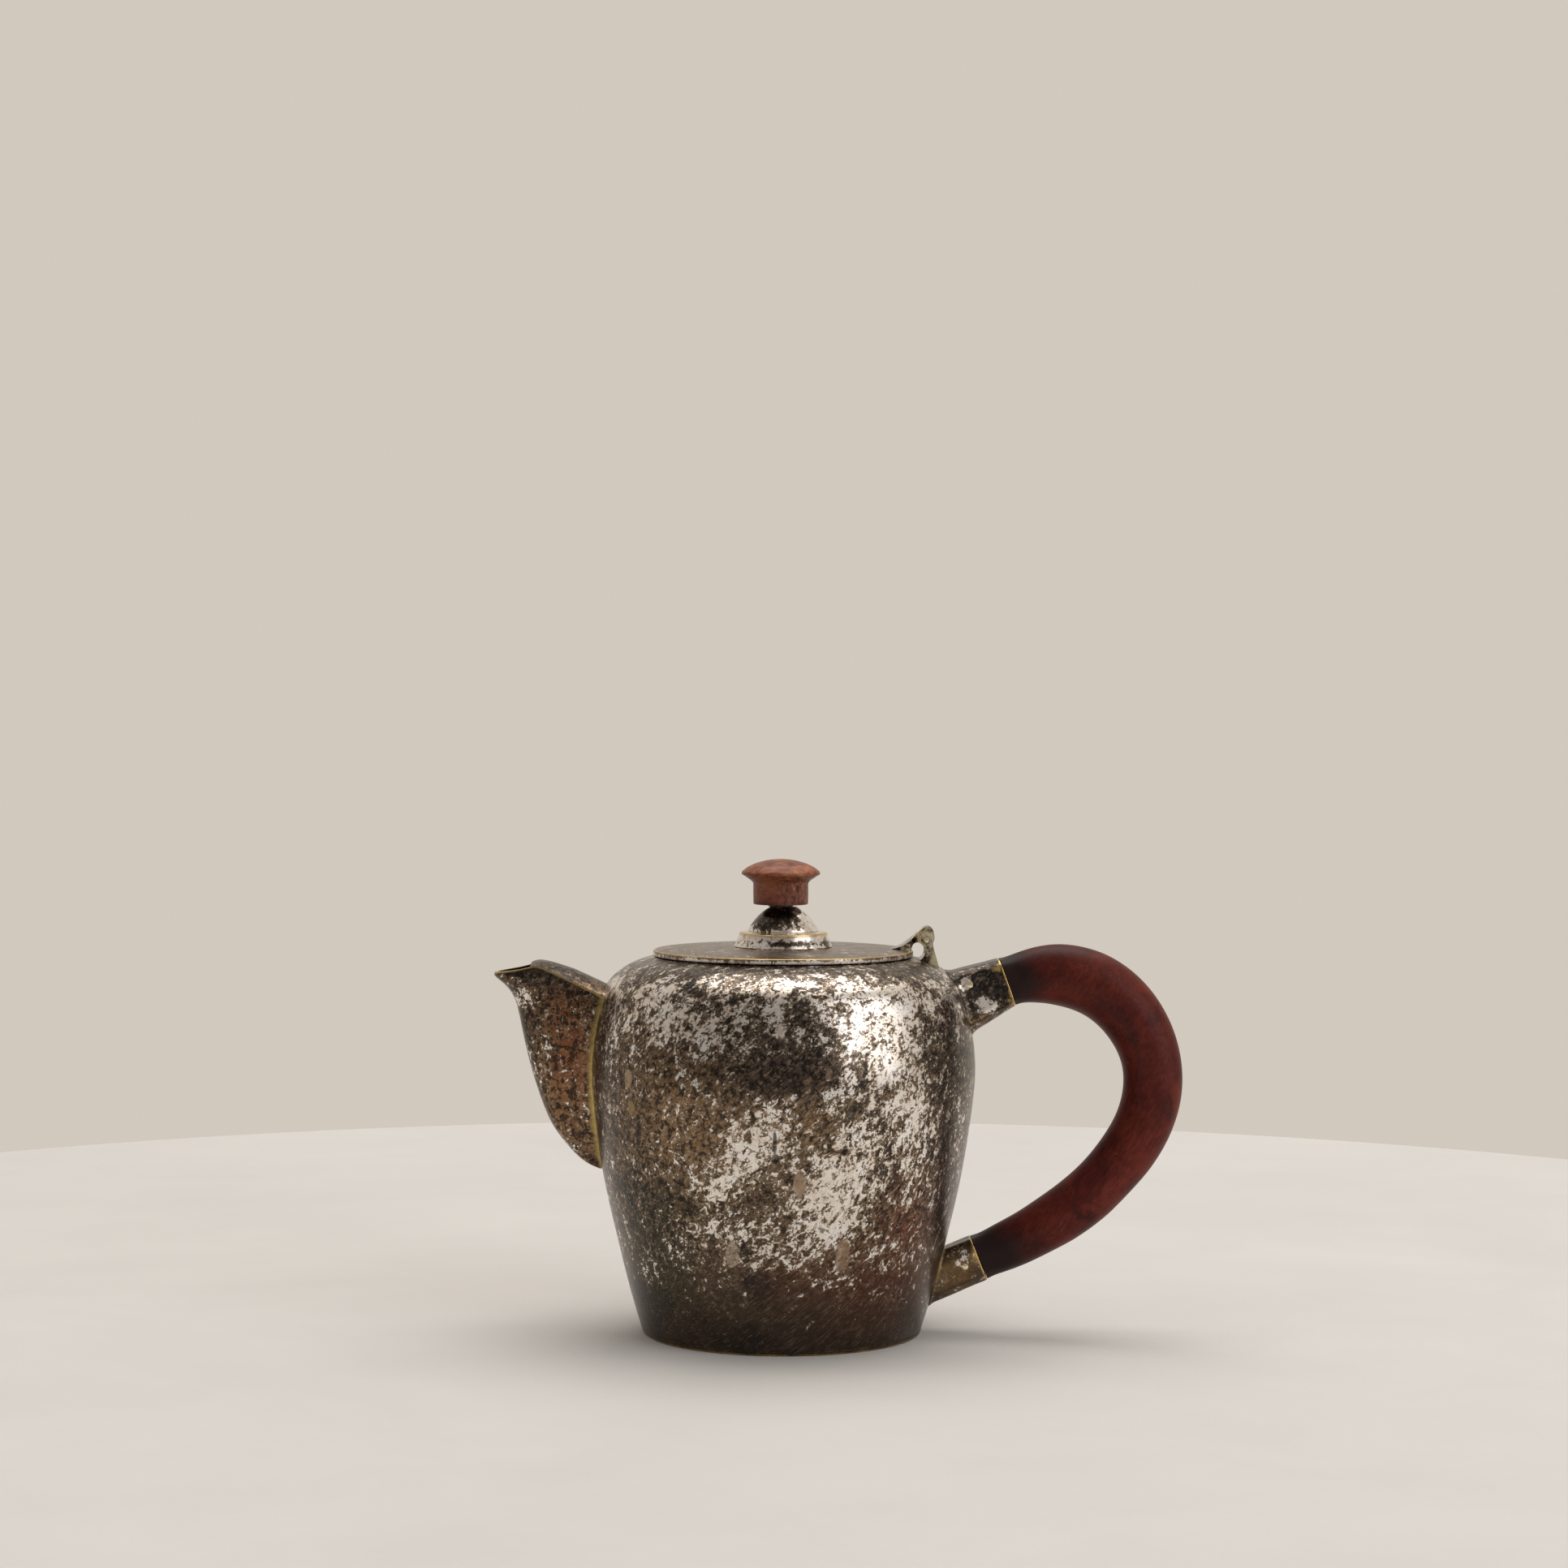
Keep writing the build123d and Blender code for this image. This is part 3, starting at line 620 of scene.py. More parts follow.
def handle_wood():
    """Dark red stained hardwood, satin, nicked, and scorched black where it meets the hot sockets."""
    s = Shader("stained_handle_wood")
    pores = s.noise(1.1, 5, 0.65, 0.1, s.stretch((0.8, 0.35, 3.2), 32))
    figure = s.noise(12, 5, 0.6, 0.8)
    colour = s.ramp(s.total(0.0, (figure, 0.6), (pores, 0.4)), (0.36, (0.036, 0.0068, 0.0055)),
                    (0.5, (0.092, 0.0135, 0.0090)), (0.63, (0.148, 0.025, 0.0145)))
    colour = s.blend(s.step(s.noise(2.2, 6, 0.72), 0.57, 0.70, 0.0, 0.55), colour, (0.028, 0.010, 0.008))
    nicks = s.noise(1.6, 3, 0.6, 0.0, s.stretch((0.5, 1.0, 1.3), 24, (8, 8, 8)))
    colour = s.blend(s.step(nicks, 0.69, 0.74, 0.0, 0.5), colour, (0.22, 0.10, 0.075))
    scorch = s.math("MAXIMUM", s.spot(61, 102, 22, 22, 1.25), s.spot(53, 19, 34, 24, 1.25))
    charred = s.total(0.0, (scorch, 0.85), (s.noise(5, 6, 0.65), 0.35))
    colour = s.blend(s.step(charred, 0.28, 0.86, 0.0, 0.92), colour, (0.014, 0.010, 0.009))
    rough = s.total(0.27, (figure, 0.16), (pores, 0.14))
    normal = s.bump(pores, 0.06, 0.3)
    normal = s.bump(s.step(s.cells(7.0), 0.0, 0.12), 0.05, 0.4, normal)
    return s.give(colour=colour, metal=0.0, rough=rough, normal=normal, specular=0.14)


def knob_wood():
    """Oiled reddish wood: arched figure on the crown, and a wrinkled burl on the stem's +X side."""
    s = Shader("oiled_knob_wood")
    figure = s.noise(6.5, 5, 0.55, 1.3, s.stretch((1.5, 1.0, 0.5), -14))
    pores = s.noise(0.9, 5, 0.68, 0.0, s.stretch((2.6, 1.0, 0.6)))
    colour = s.ramp(s.total(0.0, (figure, 0.55), (pores, 0.45)), (0.38, (0.10, 0.024, 0.012)),
                    (0.46, (0.22, 0.062, 0.028)), (0.54, (0.35, 0.115, 0.048)), (0.63, (0.47, 0.20, 0.085)))
    stem = s.step(s.z, 133.0, 131.4)
    colour = s.blend(s.times(stem, 0.5), colour, (0.22, 0.070, 0.040))
    side = s.times(s.step(s.x, -4.0, 2.0), s.step(s.z, 134.2, 132.4))
    wrinkles = s.noise(1.3, 4, 0.7, 1.2, s.stretch((0.8, 0.8, 1.7)))
    crease = s.times(s.step(wrinkles, 0.50, 0.42), side)
    ridge = s.times(s.step(wrinkles, 0.56, 0.64), side)
    colour = s.blend(s.times(crease, 0.8), colour, (0.060, 0.016, 0.010))
    colour = s.blend(s.times(ridge, 0.8), colour, (0.46, 0.20, 0.13))
    colour = s.blend(s.step(s.z, 126.8, 124.8, 0.0, 0.5), colour, (0.065, 0.018, 0.011))
    rough = s.total(0.34, (figure, 0.2), (side, -0.14))
    normal = s.bump(pores, 0.08, 0.5)
    normal = s.bump(s.times(wrinkles, side), 0.5, 0.9, normal)
    return s.give(colour=colour, metal=0.0, rough=rough, normal=normal, specular=0.3)


def limewash():
    """Pale limewashed plaster for the floor."""
    s = Shader("limewash_floor")
    tone = (0.75, 0.735, 0.715)
    dark = tuple(c * 0.94 for c in tone)
    cloud = s.noise(180, 6, 0.55)
    trowel = s.noise(60, 8, 0.6, 0.5)
    grit = s.noise(3, 4, 0.6)
    colour = s.ramp(s.total(0.0, (cloud, 0.6), (trowel, 0.4)), (0.38, dark), (0.62, tone))
    normal = s.bump(s.total(0.0, (trowel, 0.8), (grit, 0.2)), 0.8, 0.6)
    return s.give(colour=colour, metal=0.0, rough=0.85, normal=normal, specular=0.2)


PLATE = body_plate()
STAIN = stained_inside()
DRUM_PLATE = drum_metal()
LID_PLATE = lid_plate_metal()
SOCKET_PLATE = socket_plate()
SPOUT_PLATE = spout_plate()
HINGE_BRASS = worn_brass()
STEEL = dull_steel()
HANDLE_WOOD = handle_wood()
KNOB_WOOD = knob_wood()


# -------------------- vessel
def is_inner_wall(point):
    """Whether a point lies nearer the vessel's inner face than its outer one."""
    return radius_of(point) < vessel_radius(point.z) - 0.75 * WALL


def make_body_shell():
    outer = [tuple(p) for p in flank_line]
    inner_points = [(r - WALL, z) for r, z in FLANK[:-4]]
    inner_points += [(49.9, 101.5), (47.5, 103.9), (42.8, 106.7), (MOUTH_RADIUS, SHOULDER_TOP - WALL)]
    shell = lathe("body_shell_skin", outer + curve(inner_points, 70)[::-1], 224)
    dent(shell, 0.22, 26)
    bm = bmesh.new()
    hole = circle(0, 0, STRAINER_HOLE_RADIUS, 24)
    for height, count in STRAINER_ROWS:
        for k in range(count):
            y = STRAINER_PITCH * (k - (count - 1) / 2)
            rod = [[(x, y + dy, height + dz) for dy, dz in hole] for x in STRAINER_DRILL]
            ends = skin(bm, rod, loop=True)
            bm.faces.new(ends[0])
            bm.faces.new(ends[1][::-1])
    carve(shell, finish_mesh("strainer_tool", bm), "DIFFERENCE")
    place(shell, "pot", "silver_plate", (PLATE, STAIN), "body_shell")
    for face in shell.data.polygons:
        face.material_index = int(is_inner_wall(face.center / MM))
    wear(shell, lambda p: 0.4 * near(p.z, FOOT_TOP, 1.0))


def make_foot_and_mouth():
    wire = rounded([(37.6, 0), (40.4, 0), (40.95, FOOT_TOP + 0.05), (37.6, FOOT_TOP)], 0.35)
    foot = lathe("foot_ring_skin", wire, 224)
    wear(foot, lambda p: 0.6 * near(p.z, 0.3, 0.9))
    place(foot, "pot", "silver_plate", PLATE, "foot_ring")
    outer_bore = COLLAR_BORE + 1
    seat = rounded([(MOUTH_RADIUS, SHOULDER_TOP - WALL), (MOUTH_RADIUS, SHOULDER_TOP),
                    (SEAT_RADIUS, SEAT_HEIGHT), (COLLAR_BORE, SEAT_HEIGHT), (COLLAR_BORE, COLLAR_BOTTOM),
                    (outer_bore, COLLAR_BOTTOM), (outer_bore, SHOULDER_TOP - WALL)], 0.25)
    ring = lathe("mouth_ring_skin", seat)
    wear(ring, lambda p: 0.8 * near(radius_of(p), SEAT_RADIUS, 0.8))
    place(ring, "pot", "silver_plate", PLATE, "mouth_ring")


# -------------------- spout
SPOUT_FULLNESS = 3.2
SPOUT_WALL = 1.1
SPOUT_FLARE = 1.5
SPOUT_BOTTOM = 47.25
SPOUT_FLOOR = SPOUT_BOTTOM + 2.6
SPOUT_SINK = 0.45

# The spout's front as (height, x), its half width as (height, y), and its rim and cover as (x, height)
KEEL = [(SPOUT_BOTTOM, -53.6), (48.6, -56.6), (50.2, -58.9), (53.5, -62.2), (60.2, -67.2), (68.0, -70.6),
        (78.5, -73.9), (88.0, -76.1), (94.0, -77.4), (97.3, -78.5), (99.6, -79.9), (101.6, -81.9),
        (103.5, SPOUT_TIP_X)]
HALF_WIDTH = [(SPOUT_BOTTOM, 0.5), (50.2, 2.6), (54.0, 4.5), (60.2, 6.4), (68.0, 7.9), (78.5, 9.1),
              (88.0, 9.6), (95.0, 9.7), (104.0, 9.5), (110.0, 9.4)]
RIM = [(SPOUT_TIP_X, 104.6), (-80.5, 105.2), (-76.7, 105.8), (-73.9, 106.5), (-71.6, 106.95),
       (-69.3, 106.4), (-66.0, 104.95), (-62.2, 103.2), (-57.5, 101.0), (-53.5, 99.1), (-46.0, 95.4)]
COVER_FRONT = -73.4
COVER_CROWN = np.array([(COVER_FRONT, 1.0), (-70.0, 1.55), (-66.0, 2.35), (-61.0, 3.05), (-46.0, 3.3)])
keel_line = smooth_line(KEEL, 90)
width_line = smooth_line(HALF_WIDTH, 90)
rim_line = smooth_line(RIM, 160)


def read_line(line, at):
    """A line's second coordinate where its first one is at."""
    return float(np.interp(at, line[:, 0], line[:, 1]))


def surface_x(y, z):
    """How far along X the vessel's surface lies from its axis, at a width and height."""
    return max(vessel_radius(z) ** 2 - y * y, 0.0) ** 0.5


def spout_root(z, y):
    """Where the spout's wall meets the vessel, a little inside its surface."""
    return SPOUT_SINK - surface_x(y, z)


def spout_place(turn, z, inset):
    """A place on the spout's wall at a height; turn is 0 at the vessel and 1 at the keel."""
    angle = turn**1.5 * pi / 2
    half = read_line(width_line, z)
    flare = SPOUT_FLARE * min(1.0, half / 5) * max(0.0, 1 - turn / 0.42) ** 2
    half = max(half - inset, 0.3 * half)
    share = sin(angle) ** (2 / SPOUT_FULLNESS)
    y = half * cos(angle) + flare
    root = spout_root(z, y)
    keel = min(read_line(keel_line, z) + inset, root - 0.15)
    return root + (keel - root) * share, y


def spout_grid(inset, bottom, rows=70, columns=46):
    """Points over the spout's wall, from foot to rim and from one side round to the other."""
    turns = [(k / columns, 1) for k in range(columns + 1)]
    turns += [(k / columns, -1) for k in range(columns - 1, -1, -1)]
    grid = []
    for row in range(rows + 1):
        line = []
        for turn, side in turns:
            top = 104.0  # the rim's height depends on x, and x on the height, so both settle together
            for _ in range(25):
                top = 0.5 * top + 0.5 * read_line(rim_line, spout_place(turn, top, inset)[0])
            z = bottom + (top - bottom) * (row / rows) ** 1.05
            x, y = spout_place(turn, z, inset)
            line.append((x, side * y if turn < 1 else 0.0, z))
        grid.append(line)
    return grid


def make_spout():
    bm = bmesh.new()
    outer = skin(bm, spout_grid(0.0, SPOUT_BOTTOM))
    inner = skin(bm, spout_grid(SPOUT_WALL, SPOUT_FLOOR))
    bridge(bm, outer[-1], inner[-1])
    for side in (0, -1):
        bridge(bm, [row[side] for row in outer], [row[side] for row in inner])
    bm.faces.new(outer[0])
    bm.faces.new(inner[0])
    bm.faces.new((outer[0][0], outer[0][-1], inner[0][-1], inner[0][0]))
    spout = finish_mesh("spout_channel_skin", bm, 50)
    soften_edges(spout, 0.28, 3, 50)

    def worn_rim(p):
        rim = 1.0 - abs(p.z - read_line(rim_line, p.x)) / 0.55
        gap = abs(p.x) - surface_x(p.y, p.z)
        seam = 0.72 * max(0.0, 1.0 - gap / 3.2) if p.z < 99 else 0.0
        return max(rim, seam)

    wear(spout, worn_rim)
    place(spout, "pot", "silver_plate", SPOUT_PLATE, "spout_channel")


def rim_half_width(x):
    """Half the spout's width across its rim at x."""
    z = read_line(rim_line, x)
    half = read_line(width_line, z)
    root = spout_root(z, half)
    share = clamp((root - x) / (root - read_line(keel_line, z)))
    return half * (1 - share**SPOUT_FULLNESS) ** 0.5


def cover_grid(drop, rows=46, columns=32):
    """Points over the cover plate, from its front edge to the vessel, drop below its top face."""
    ledge = 0.4
    grid = []
    for row in range(rows + 1):
        line = []
        for column in range(columns + 1):
            across = 2 * column / columns - 1
            x = COVER_FRONT + (row / rows) * 20
            for _ in range(12):
                z = read_line(rim_line, x) + read_line(COVER_CROWN, x) * (1 - across**2)
                y = across * (rim_half_width(x) - ledge - drop * 0.8)
                end = spout_root(min(z - drop, SHOULDER_TOP), y)
                x = COVER_FRONT + (end - COVER_FRONT) * row / rows
            line.append((x, y, z - drop * (1 - 0.75 * across**2)))
        grid.append(line)
    return grid


def make_spout_cover():
    bm = bmesh.new()
    top = skin(bm, cover_grid(0.0))
    under = skin(bm, cover_grid(0.9))
    for edge in (0, -1):
        bridge(bm, top[edge], under[edge])
        bridge(bm, [row[edge] for row in top], [row[edge] for row in under])
    cover = finish_mesh("spout_cover_skin", bm, 50)
    soften_edges(cover, 0.22, 3, 50)
    wear(cover, lambda p: 0.5 * near(p.x, -73.3, 0.5))
    place(cover, "pot", "silver_plate", SPOUT_PLATE, "spout_cover")


# -------------------- handle
# The grip's middle line from the upper socket to the lower, as (x, height, thickness)
GRIP = [(65.35, 102.45, 14.2), (72.6, 104.2, 16.0), (79.6, 104.6, 17.8), (87.0, 103.2, 18.8),
        (94.0, 99.8, 18.9), (100.0, 94.6, 18.5), (105.0, 87.2, 17.8), (107.7, 79.0, 17.3),
        (107.9, 70.0, 17.2), (105.4, 61.0, 16.9), (100.6, 52.6, 16.6), (93.9, 44.4, 16.2),
        (85.6, 37.0, 16.0), (76.2, 30.7, 15.4), (66.6, 25.6, 14.2), (57.55, 21.6, 13.0)]
GRIP_WIDTH_SHARE = 0.93
GRIP_BLEND = 9
GRIP_INSET = 0.12
SOCKET_SINK = 0.35
SKIRT_FLARE = 0.7
SKIRT_SHARE = 0.14
UPPER_TILT = radians(20.2)
LOWER_TILT = radians(22.2)
AROUND = 96
ROUND = [2 * pi * k / AROUND for k in range(AROUND)]


def facets(top, bottom, half_width, facet):
    """A socket's section: flat sides and top, with the lower corners cut back."""
    right = [(half_width * 0.62, top), (half_width * 0.9, top - facet * 0.6),
             (half_width, top - facet * 1.3), (half_width, bottom + facet), (half_width * 0.55, bottom)]
    return right + [(-y, z) for y, z in reversed(right)]


def polar(outline):
    """How far a convex outline lies from the origin in each direction of ROUND, with eased corners."""
    reach = []
    for angle in ROUND:
        direction = np.array((sin(angle), cos(angle)))
        best = 1e9
        for a, b in zip(outline, outline[1:] + outline[:1]):
            edge = np.array(b) - np.array(a)
            normal = np.array((edge[1], -edge[0]))
            along = normal @ direction
            distance = normal @ np.array(a)
            if abs(along) > 1e-9 and distance / along > 0:
                best = min(best, distance / along)
        reach.append(best)
    return np.array([0.25 * reach[i - 1] + 0.5 * reach[i] + 0.25 * reach[(i + 1) % len(reach)]
                     for i in range(len(reach))])


# Each joint's outer end, its tilt, its section (for facets) there and at the vessel, and its reach
UPPER = dict(origin=(65.35, 102.45), tilt=UPPER_TILT, near=(7.1, -7.1, 6.9, 2.0),
             far=(9.1, -11.6, 9.0, 3.6), reach=21)
LOWER = dict(origin=(57.55, 21.6), tilt=LOWER_TILT, near=(6.5, -6.5, 6.2, 2.4),
             far=(6.3, -6.9, 6.6, 2.6), reach=22)


def joint_point(joint, out, up, y):
    """A point out from a joint along the handle, up across it and y sideways."""
    x0, z0 = joint["origin"]
    tilt = joint["tilt"]
    return (x0 + out * cos(tilt) - up * sin(tilt), y, z0 + out * sin(tilt) + up * cos(tilt))


def make_socket(name, joint):
    """A tapering socket from its joint to a little inside the vessel, with a slight skirt there."""
    near_ring = polar(facets(*joint["near"]))
    far_ring = polar(facets(*joint["far"]))
    rows = 28
    grid = []
    ends = []
    for angle, near_reach, far_reach in zip(ROUND, near_ring, far_ring):
        stop = 1.0
        for k in range(400):
            t = k / 400
            reach = near_reach + (far_reach - near_reach) * t
            x, y, z = joint_point(joint, -joint["reach"] * t, reach * cos(angle), reach * sin(angle))
            if x * x + y * y < (vessel_radius(z) - SOCKET_SINK) ** 2:
                stop = t
                break
        ends.append(stop)
    for row in range(rows + 1):
        share = row / rows
        line = []
        for angle, near_reach, far_reach, stop in zip(ROUND, near_ring, far_ring, ends):
            t = stop * share
            skirt = max(0.0, (share - (1 - SKIRT_SHARE)) / SKIRT_SHARE)
            reach = near_reach + (far_reach - near_reach) * t + SKIRT_FLARE * skirt**2
            line.append(joint_point(joint, -joint["reach"] * t, reach * cos(angle), reach * sin(angle)))
        grid.append(line)
    bm = bmesh.new()
    rings = skin(bm, grid, loop=True)
    bm.faces.new(rings[0])
    bm.faces.new(rings[-1][::-1])
    socket = finish_mesh(name + "_skin", bm, 28)
    soften_edges(socket, 0.25, 2, 60)
    dent(socket, 0.12, 5)
    x0, z0 = joint["origin"]

    def worn_end(p):
        out = (p.x - x0) * cos(joint["tilt"]) + (p.z - z0) * sin(joint["tilt"])
        gap = radius_of(p) - vessel_radius(p.z)
        return max(1.0 - abs(out) / 1.1, 0.5 * near(gap, 0.4, 0.8))

    wear(socket, worn_end)
    place(socket, "pot", "silver_plate", SOCKET_PLATE, name)


def make_grip():
    """An oval grip that takes on each socket's section where it meets it."""
    spine = smooth_line(GRIP, 220)
    upper_ring = polar(facets(*UPPER["near"]))
    lower_ring = polar(facets(*LOWER["near"]))
    steps = np.linalg.norm(np.diff(spine[:, :2], axis=0), axis=1)
    travel = np.concatenate([[0], np.cumsum(steps)])
    grid = []
    for k, (x, z, thickness) in enumerate(spine):
        before, after = spine[max(k - 1, 0)], spine[min(k + 1, len(spine) - 1)]
        heading = np.array((after[0] - before[0], after[1] - before[1]))
        heading /= np.linalg.norm(heading)
        start_mix = max(0.0, 1 - travel[k] / GRIP_BLEND) ** 2
        end_mix = max(0.0, 1 - (travel[-1] - travel[k]) / GRIP_BLEND) ** 2
        begin = np.array((cos(UPPER_TILT), sin(UPPER_TILT)))
        finish = -np.array((cos(LOWER_TILT), sin(LOWER_TILT)))
        heading = heading * (1 - start_mix - end_mix) + begin * start_mix + finish * end_mix
        heading /= np.linalg.norm(heading)
        up = np.array((-heading[1], heading[0]))
        line = []
        for i, angle in enumerate(ROUND):
            tall = thickness / 2
            wide = tall * GRIP_WIDTH_SHARE
            reach = tall * wide / ((wide * cos(angle)) ** 2 + (tall * sin(angle)) ** 2) ** 0.5
            reach = reach * (1 - start_mix) + (upper_ring[i] - GRIP_INSET) * start_mix
            mirrored = (AROUND // 2 - i) % AROUND
            reach = reach * (1 - end_mix) + (lower_ring[mirrored] - GRIP_INSET) * end_mix
            side = reach * sin(angle)
            lift = reach * cos(angle)
            line.append((x + up[0] * lift, side, z + up[1] * lift))
        grid.append(line)
    bm = bmesh.new()
    rings = skin(bm, grid, loop=True)
    bm.faces.new(rings[0])
    bm.faces.new(rings[-1][::-1])
    grip = finish_mesh("handle_grip_skin", bm, 50)
    soften_edges(grip, 0.3, 2, 60)
    outermost = (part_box("handle_grip")[1] / MM).x

    def away_from_box(p):
        """Leaves the outermost side alone, so that the grip keeps the frame's length."""
        return clamp((outermost - p.x) / 3)

    dent(grip, 0.35, 16, away_from_box)
    place(grip, "pot", "handle_wood", HANDLE_WOOD, "handle_grip")


def make_pin(name, dome=0.15):
    """A round pin along Y with slightly domed ends, where its CAD node lies."""
    x, z, radius, half_length = pin_seat(name)
    outline = [(0, -half_length), (radius * 0.6, -half_length + dome * 0.4),
               (radius - 0.1, -half_length + dome), (radius, -half_length + dome + 0.15),
               (radius, half_length - dome - 0.15), (radius - 0.1, half_length - dome),
               (radius * 0.6, half_length - dome * 0.4), (0, half_length)]
    pin = lathe(name + "_skin", outline, 48)
    pin.data.transform(Matrix.Translation((x * MM, 0, z * MM)) @ Matrix.Rotation(pi / 2, 4, "X"))
    wear(pin, lambda p: near(abs(p.y), half_length, 0.4))
    place(pin, "pot", "worn_brass", HINGE_BRASS, name)


def pin_seat(name):
    """(x, z, radius, half length) of a CAD pin along Y."""
    low, high = in_mm(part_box(name))
    return (low.x + high.x) / 2, (low.z + high.z) / 2, (high.z - low.z) / 2, high.y


# -------------------- lid
def make_lid():
    edge_top = LID_UNDERSIDE + 1.6
    crown = curve([(DRUM_RADIUS + 0.3, CROWN), (26.0, 112.15), (33.0, 111.85),
                   (LID_RADIUS - 0.55, edge_top)], 24)
    rim = circle(LID_RADIUS - 0.45, LID_UNDERSIDE + 1.15, 0.45, 8, 75, 0)
    outline = [(9.0, CROWN - 1.1), (9.0, CROWN)] + crown + rim
    outline += [(LID_RADIUS, LID_UNDERSIDE + 0.4), (LID_RADIUS - 0.12, LID_UNDERSIDE + 0.12),
                (LID_RADIUS - 0.4, LID_UNDERSIDE), (BEZEL_RADIUS - 1.0, LID_UNDERSIDE),
                (BEZEL_RADIUS - 1.0, edge_top - 0.8), (26.0, 111.0), (DRUM_RADIUS, CROWN - 1.1)]
    disc = lathe("lid_plate_skin", outline, 224)
    dent(disc, 0.10, 14, lambda p: clamp((36.0 - radius_of(p)) / 4))
    wear(disc, lambda p: near(radius_of(p), LID_RADIUS - 0.35, 0.55) * (p.z > LID_UNDERSIDE + 1.0))
    place(disc, "lid", "silver_plate", (LID_PLATE, STAIN), "lid_plate")
    for face in disc.data.polygons:
        centre = face.center / MM
        face.material_index = int(face.normal.z < -0.5 and radius_of(centre) < BEZEL_RADIUS)

    bore = BEZEL_RADIUS - 0.8
    bezel = lathe("lid_bezel_skin", rounded([(BEZEL_RADIUS, LID_UNDERSIDE), (BEZEL_RADIUS, BEZEL_BOTTOM),
                                             (bore, BEZEL_BOTTOM), (bore, LID_UNDERSIDE)], 0.18))
    wear(bezel, lambda p: near(p.z, BEZEL_BOTTOM, 0.5))
    place(bezel, "lid", "silver_plate", STAIN, "lid_bezel")

    side = curve([(DRUM_RADIUS, CROWN + 0.25), (DRUM_RADIUS - 0.35, CROWN + 1.0),
                  (13.25, CROWN + 2.4), (12.95, 115.9)], 16)
    shoulder = circle(12.35, 116.0, 0.62, 8, 0, 82)
    drum_line = [(DRUM_RADIUS - 1.2, CROWN), (DRUM_RADIUS - 0.15, CROWN)] + side + shoulder
    drum_line += [(10.9, DRUM_TOP - 0.12), (10.4, DRUM_TOP), (9.0, DRUM_TOP), (9.0, 116.0),
                  (11.7, 115.7), (12.1, 114.8)]
    drum = lathe("lid_drum_skin", drum_line)
    wear(drum, lambda p: max(near(radius_of(p), 12.6, 0.8) * (p.z > 115.7), 0.6 * near(p.z, CROWN, 0.5)))
    place(drum, "lid", "silver_plate", DRUM_PLATE, "lid_drum")

    outer = curve([(10.35, DRUM_TOP + 0.1), (9.9, 118.1), (8.9, 119.6), (7.4, 121.4), (5.6, 122.95),
                   (3.9, DOME_TOP - 0.1)], 32)
    inner = curve([(3.4, DOME_TOP - 0.9), (5.0, 122.0), (6.5, 120.6), (7.9, 118.9), (9.3, DRUM_TOP)], 18)
    dome_line = outer + [(3.6, DOME_TOP), (0, DOME_TOP), (0, DOME_TOP - 0.9)]
    dome_line += inner + [(10.2, DRUM_TOP)]
    dome = lathe("lid_dome_skin", dome_line, 160)
    dent(dome, 0.12, 6, lambda p: clamp((p.z - DRUM_TOP) / 2) * clamp((DOME_TOP - p.z) / 1.5))
    wear(dome, lambda p: 0.3 * near(p.z, DRUM_TOP, 0.6))
    place(dome, "lid", "silver_plate", DRUM_PLATE, "lid_dome")


def make_knob():
    base, top = KNOB_LOW.z, KNOB_HIGH.z
    rim = (KNOB_HIGH.x - KNOB_LOW.x) / 2
    side = [(8.0, base + 0.5), (8.05, base + 3.4), (8.05, base + 5.9)]
    side += curve([(8.12, base + 6.25), (8.5, base + 6.7), (9.6, base + 7.55), (rim - 0.55, base + 8.5)], 18)
    nose = circle(rim - 0.72, base + 9.1, 0.72, 10, -52, 58)
    crown = curve([(rim - 0.34, base + 9.74), (9.8, base + 10.75), (7.2, base + 11.95),
                   (3.8, base + 12.85), (1.2, top - 0.06), (0, top)], 30)
    outline = [(0, base), (7.7, base), (7.95, base + 0.12)] + side + nose
    outline += crown[:-1] + [(0, top)]
    knob = lathe("knob_skin", outline, centre=(KNOB_X, 0.0), sharp=45)

    def burl(p):
        """The wrinkled part: low on the side turned to +X."""
        return clamp((p.x - KNOB_X + 2) / 5) * clamp((base + 8.5 - p.z) / 2) * (p.z > base + 0.3)

    dent(knob, 0.30, 1.1, burl)
    dent(knob, 0.14, 0.5, burl)
    dent(knob, 0.10, 5.0, lambda p: float(base + 0.3 < p.z < top - 1.5) * min(1.0, (top - p.z) / 4))
    place(knob, "lid", "knob_wood", KNOB_WOOD, "knob")

    low, high = in_mm(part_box("knob_collar"))
    radius = (high.x - low.x) / 2
    ring = rounded([(0, low.z), (radius - 0.1, low.z), (radius, (low.z + high.z) / 2),
                    (radius - 0.1, high.z), (0, high.z)], 0.12)
    collar = lathe("knob_collar_skin", ring, 64, (KNOB_X, 0.0))
    place(collar, "lid", "steel", STEEL, "knob_collar")


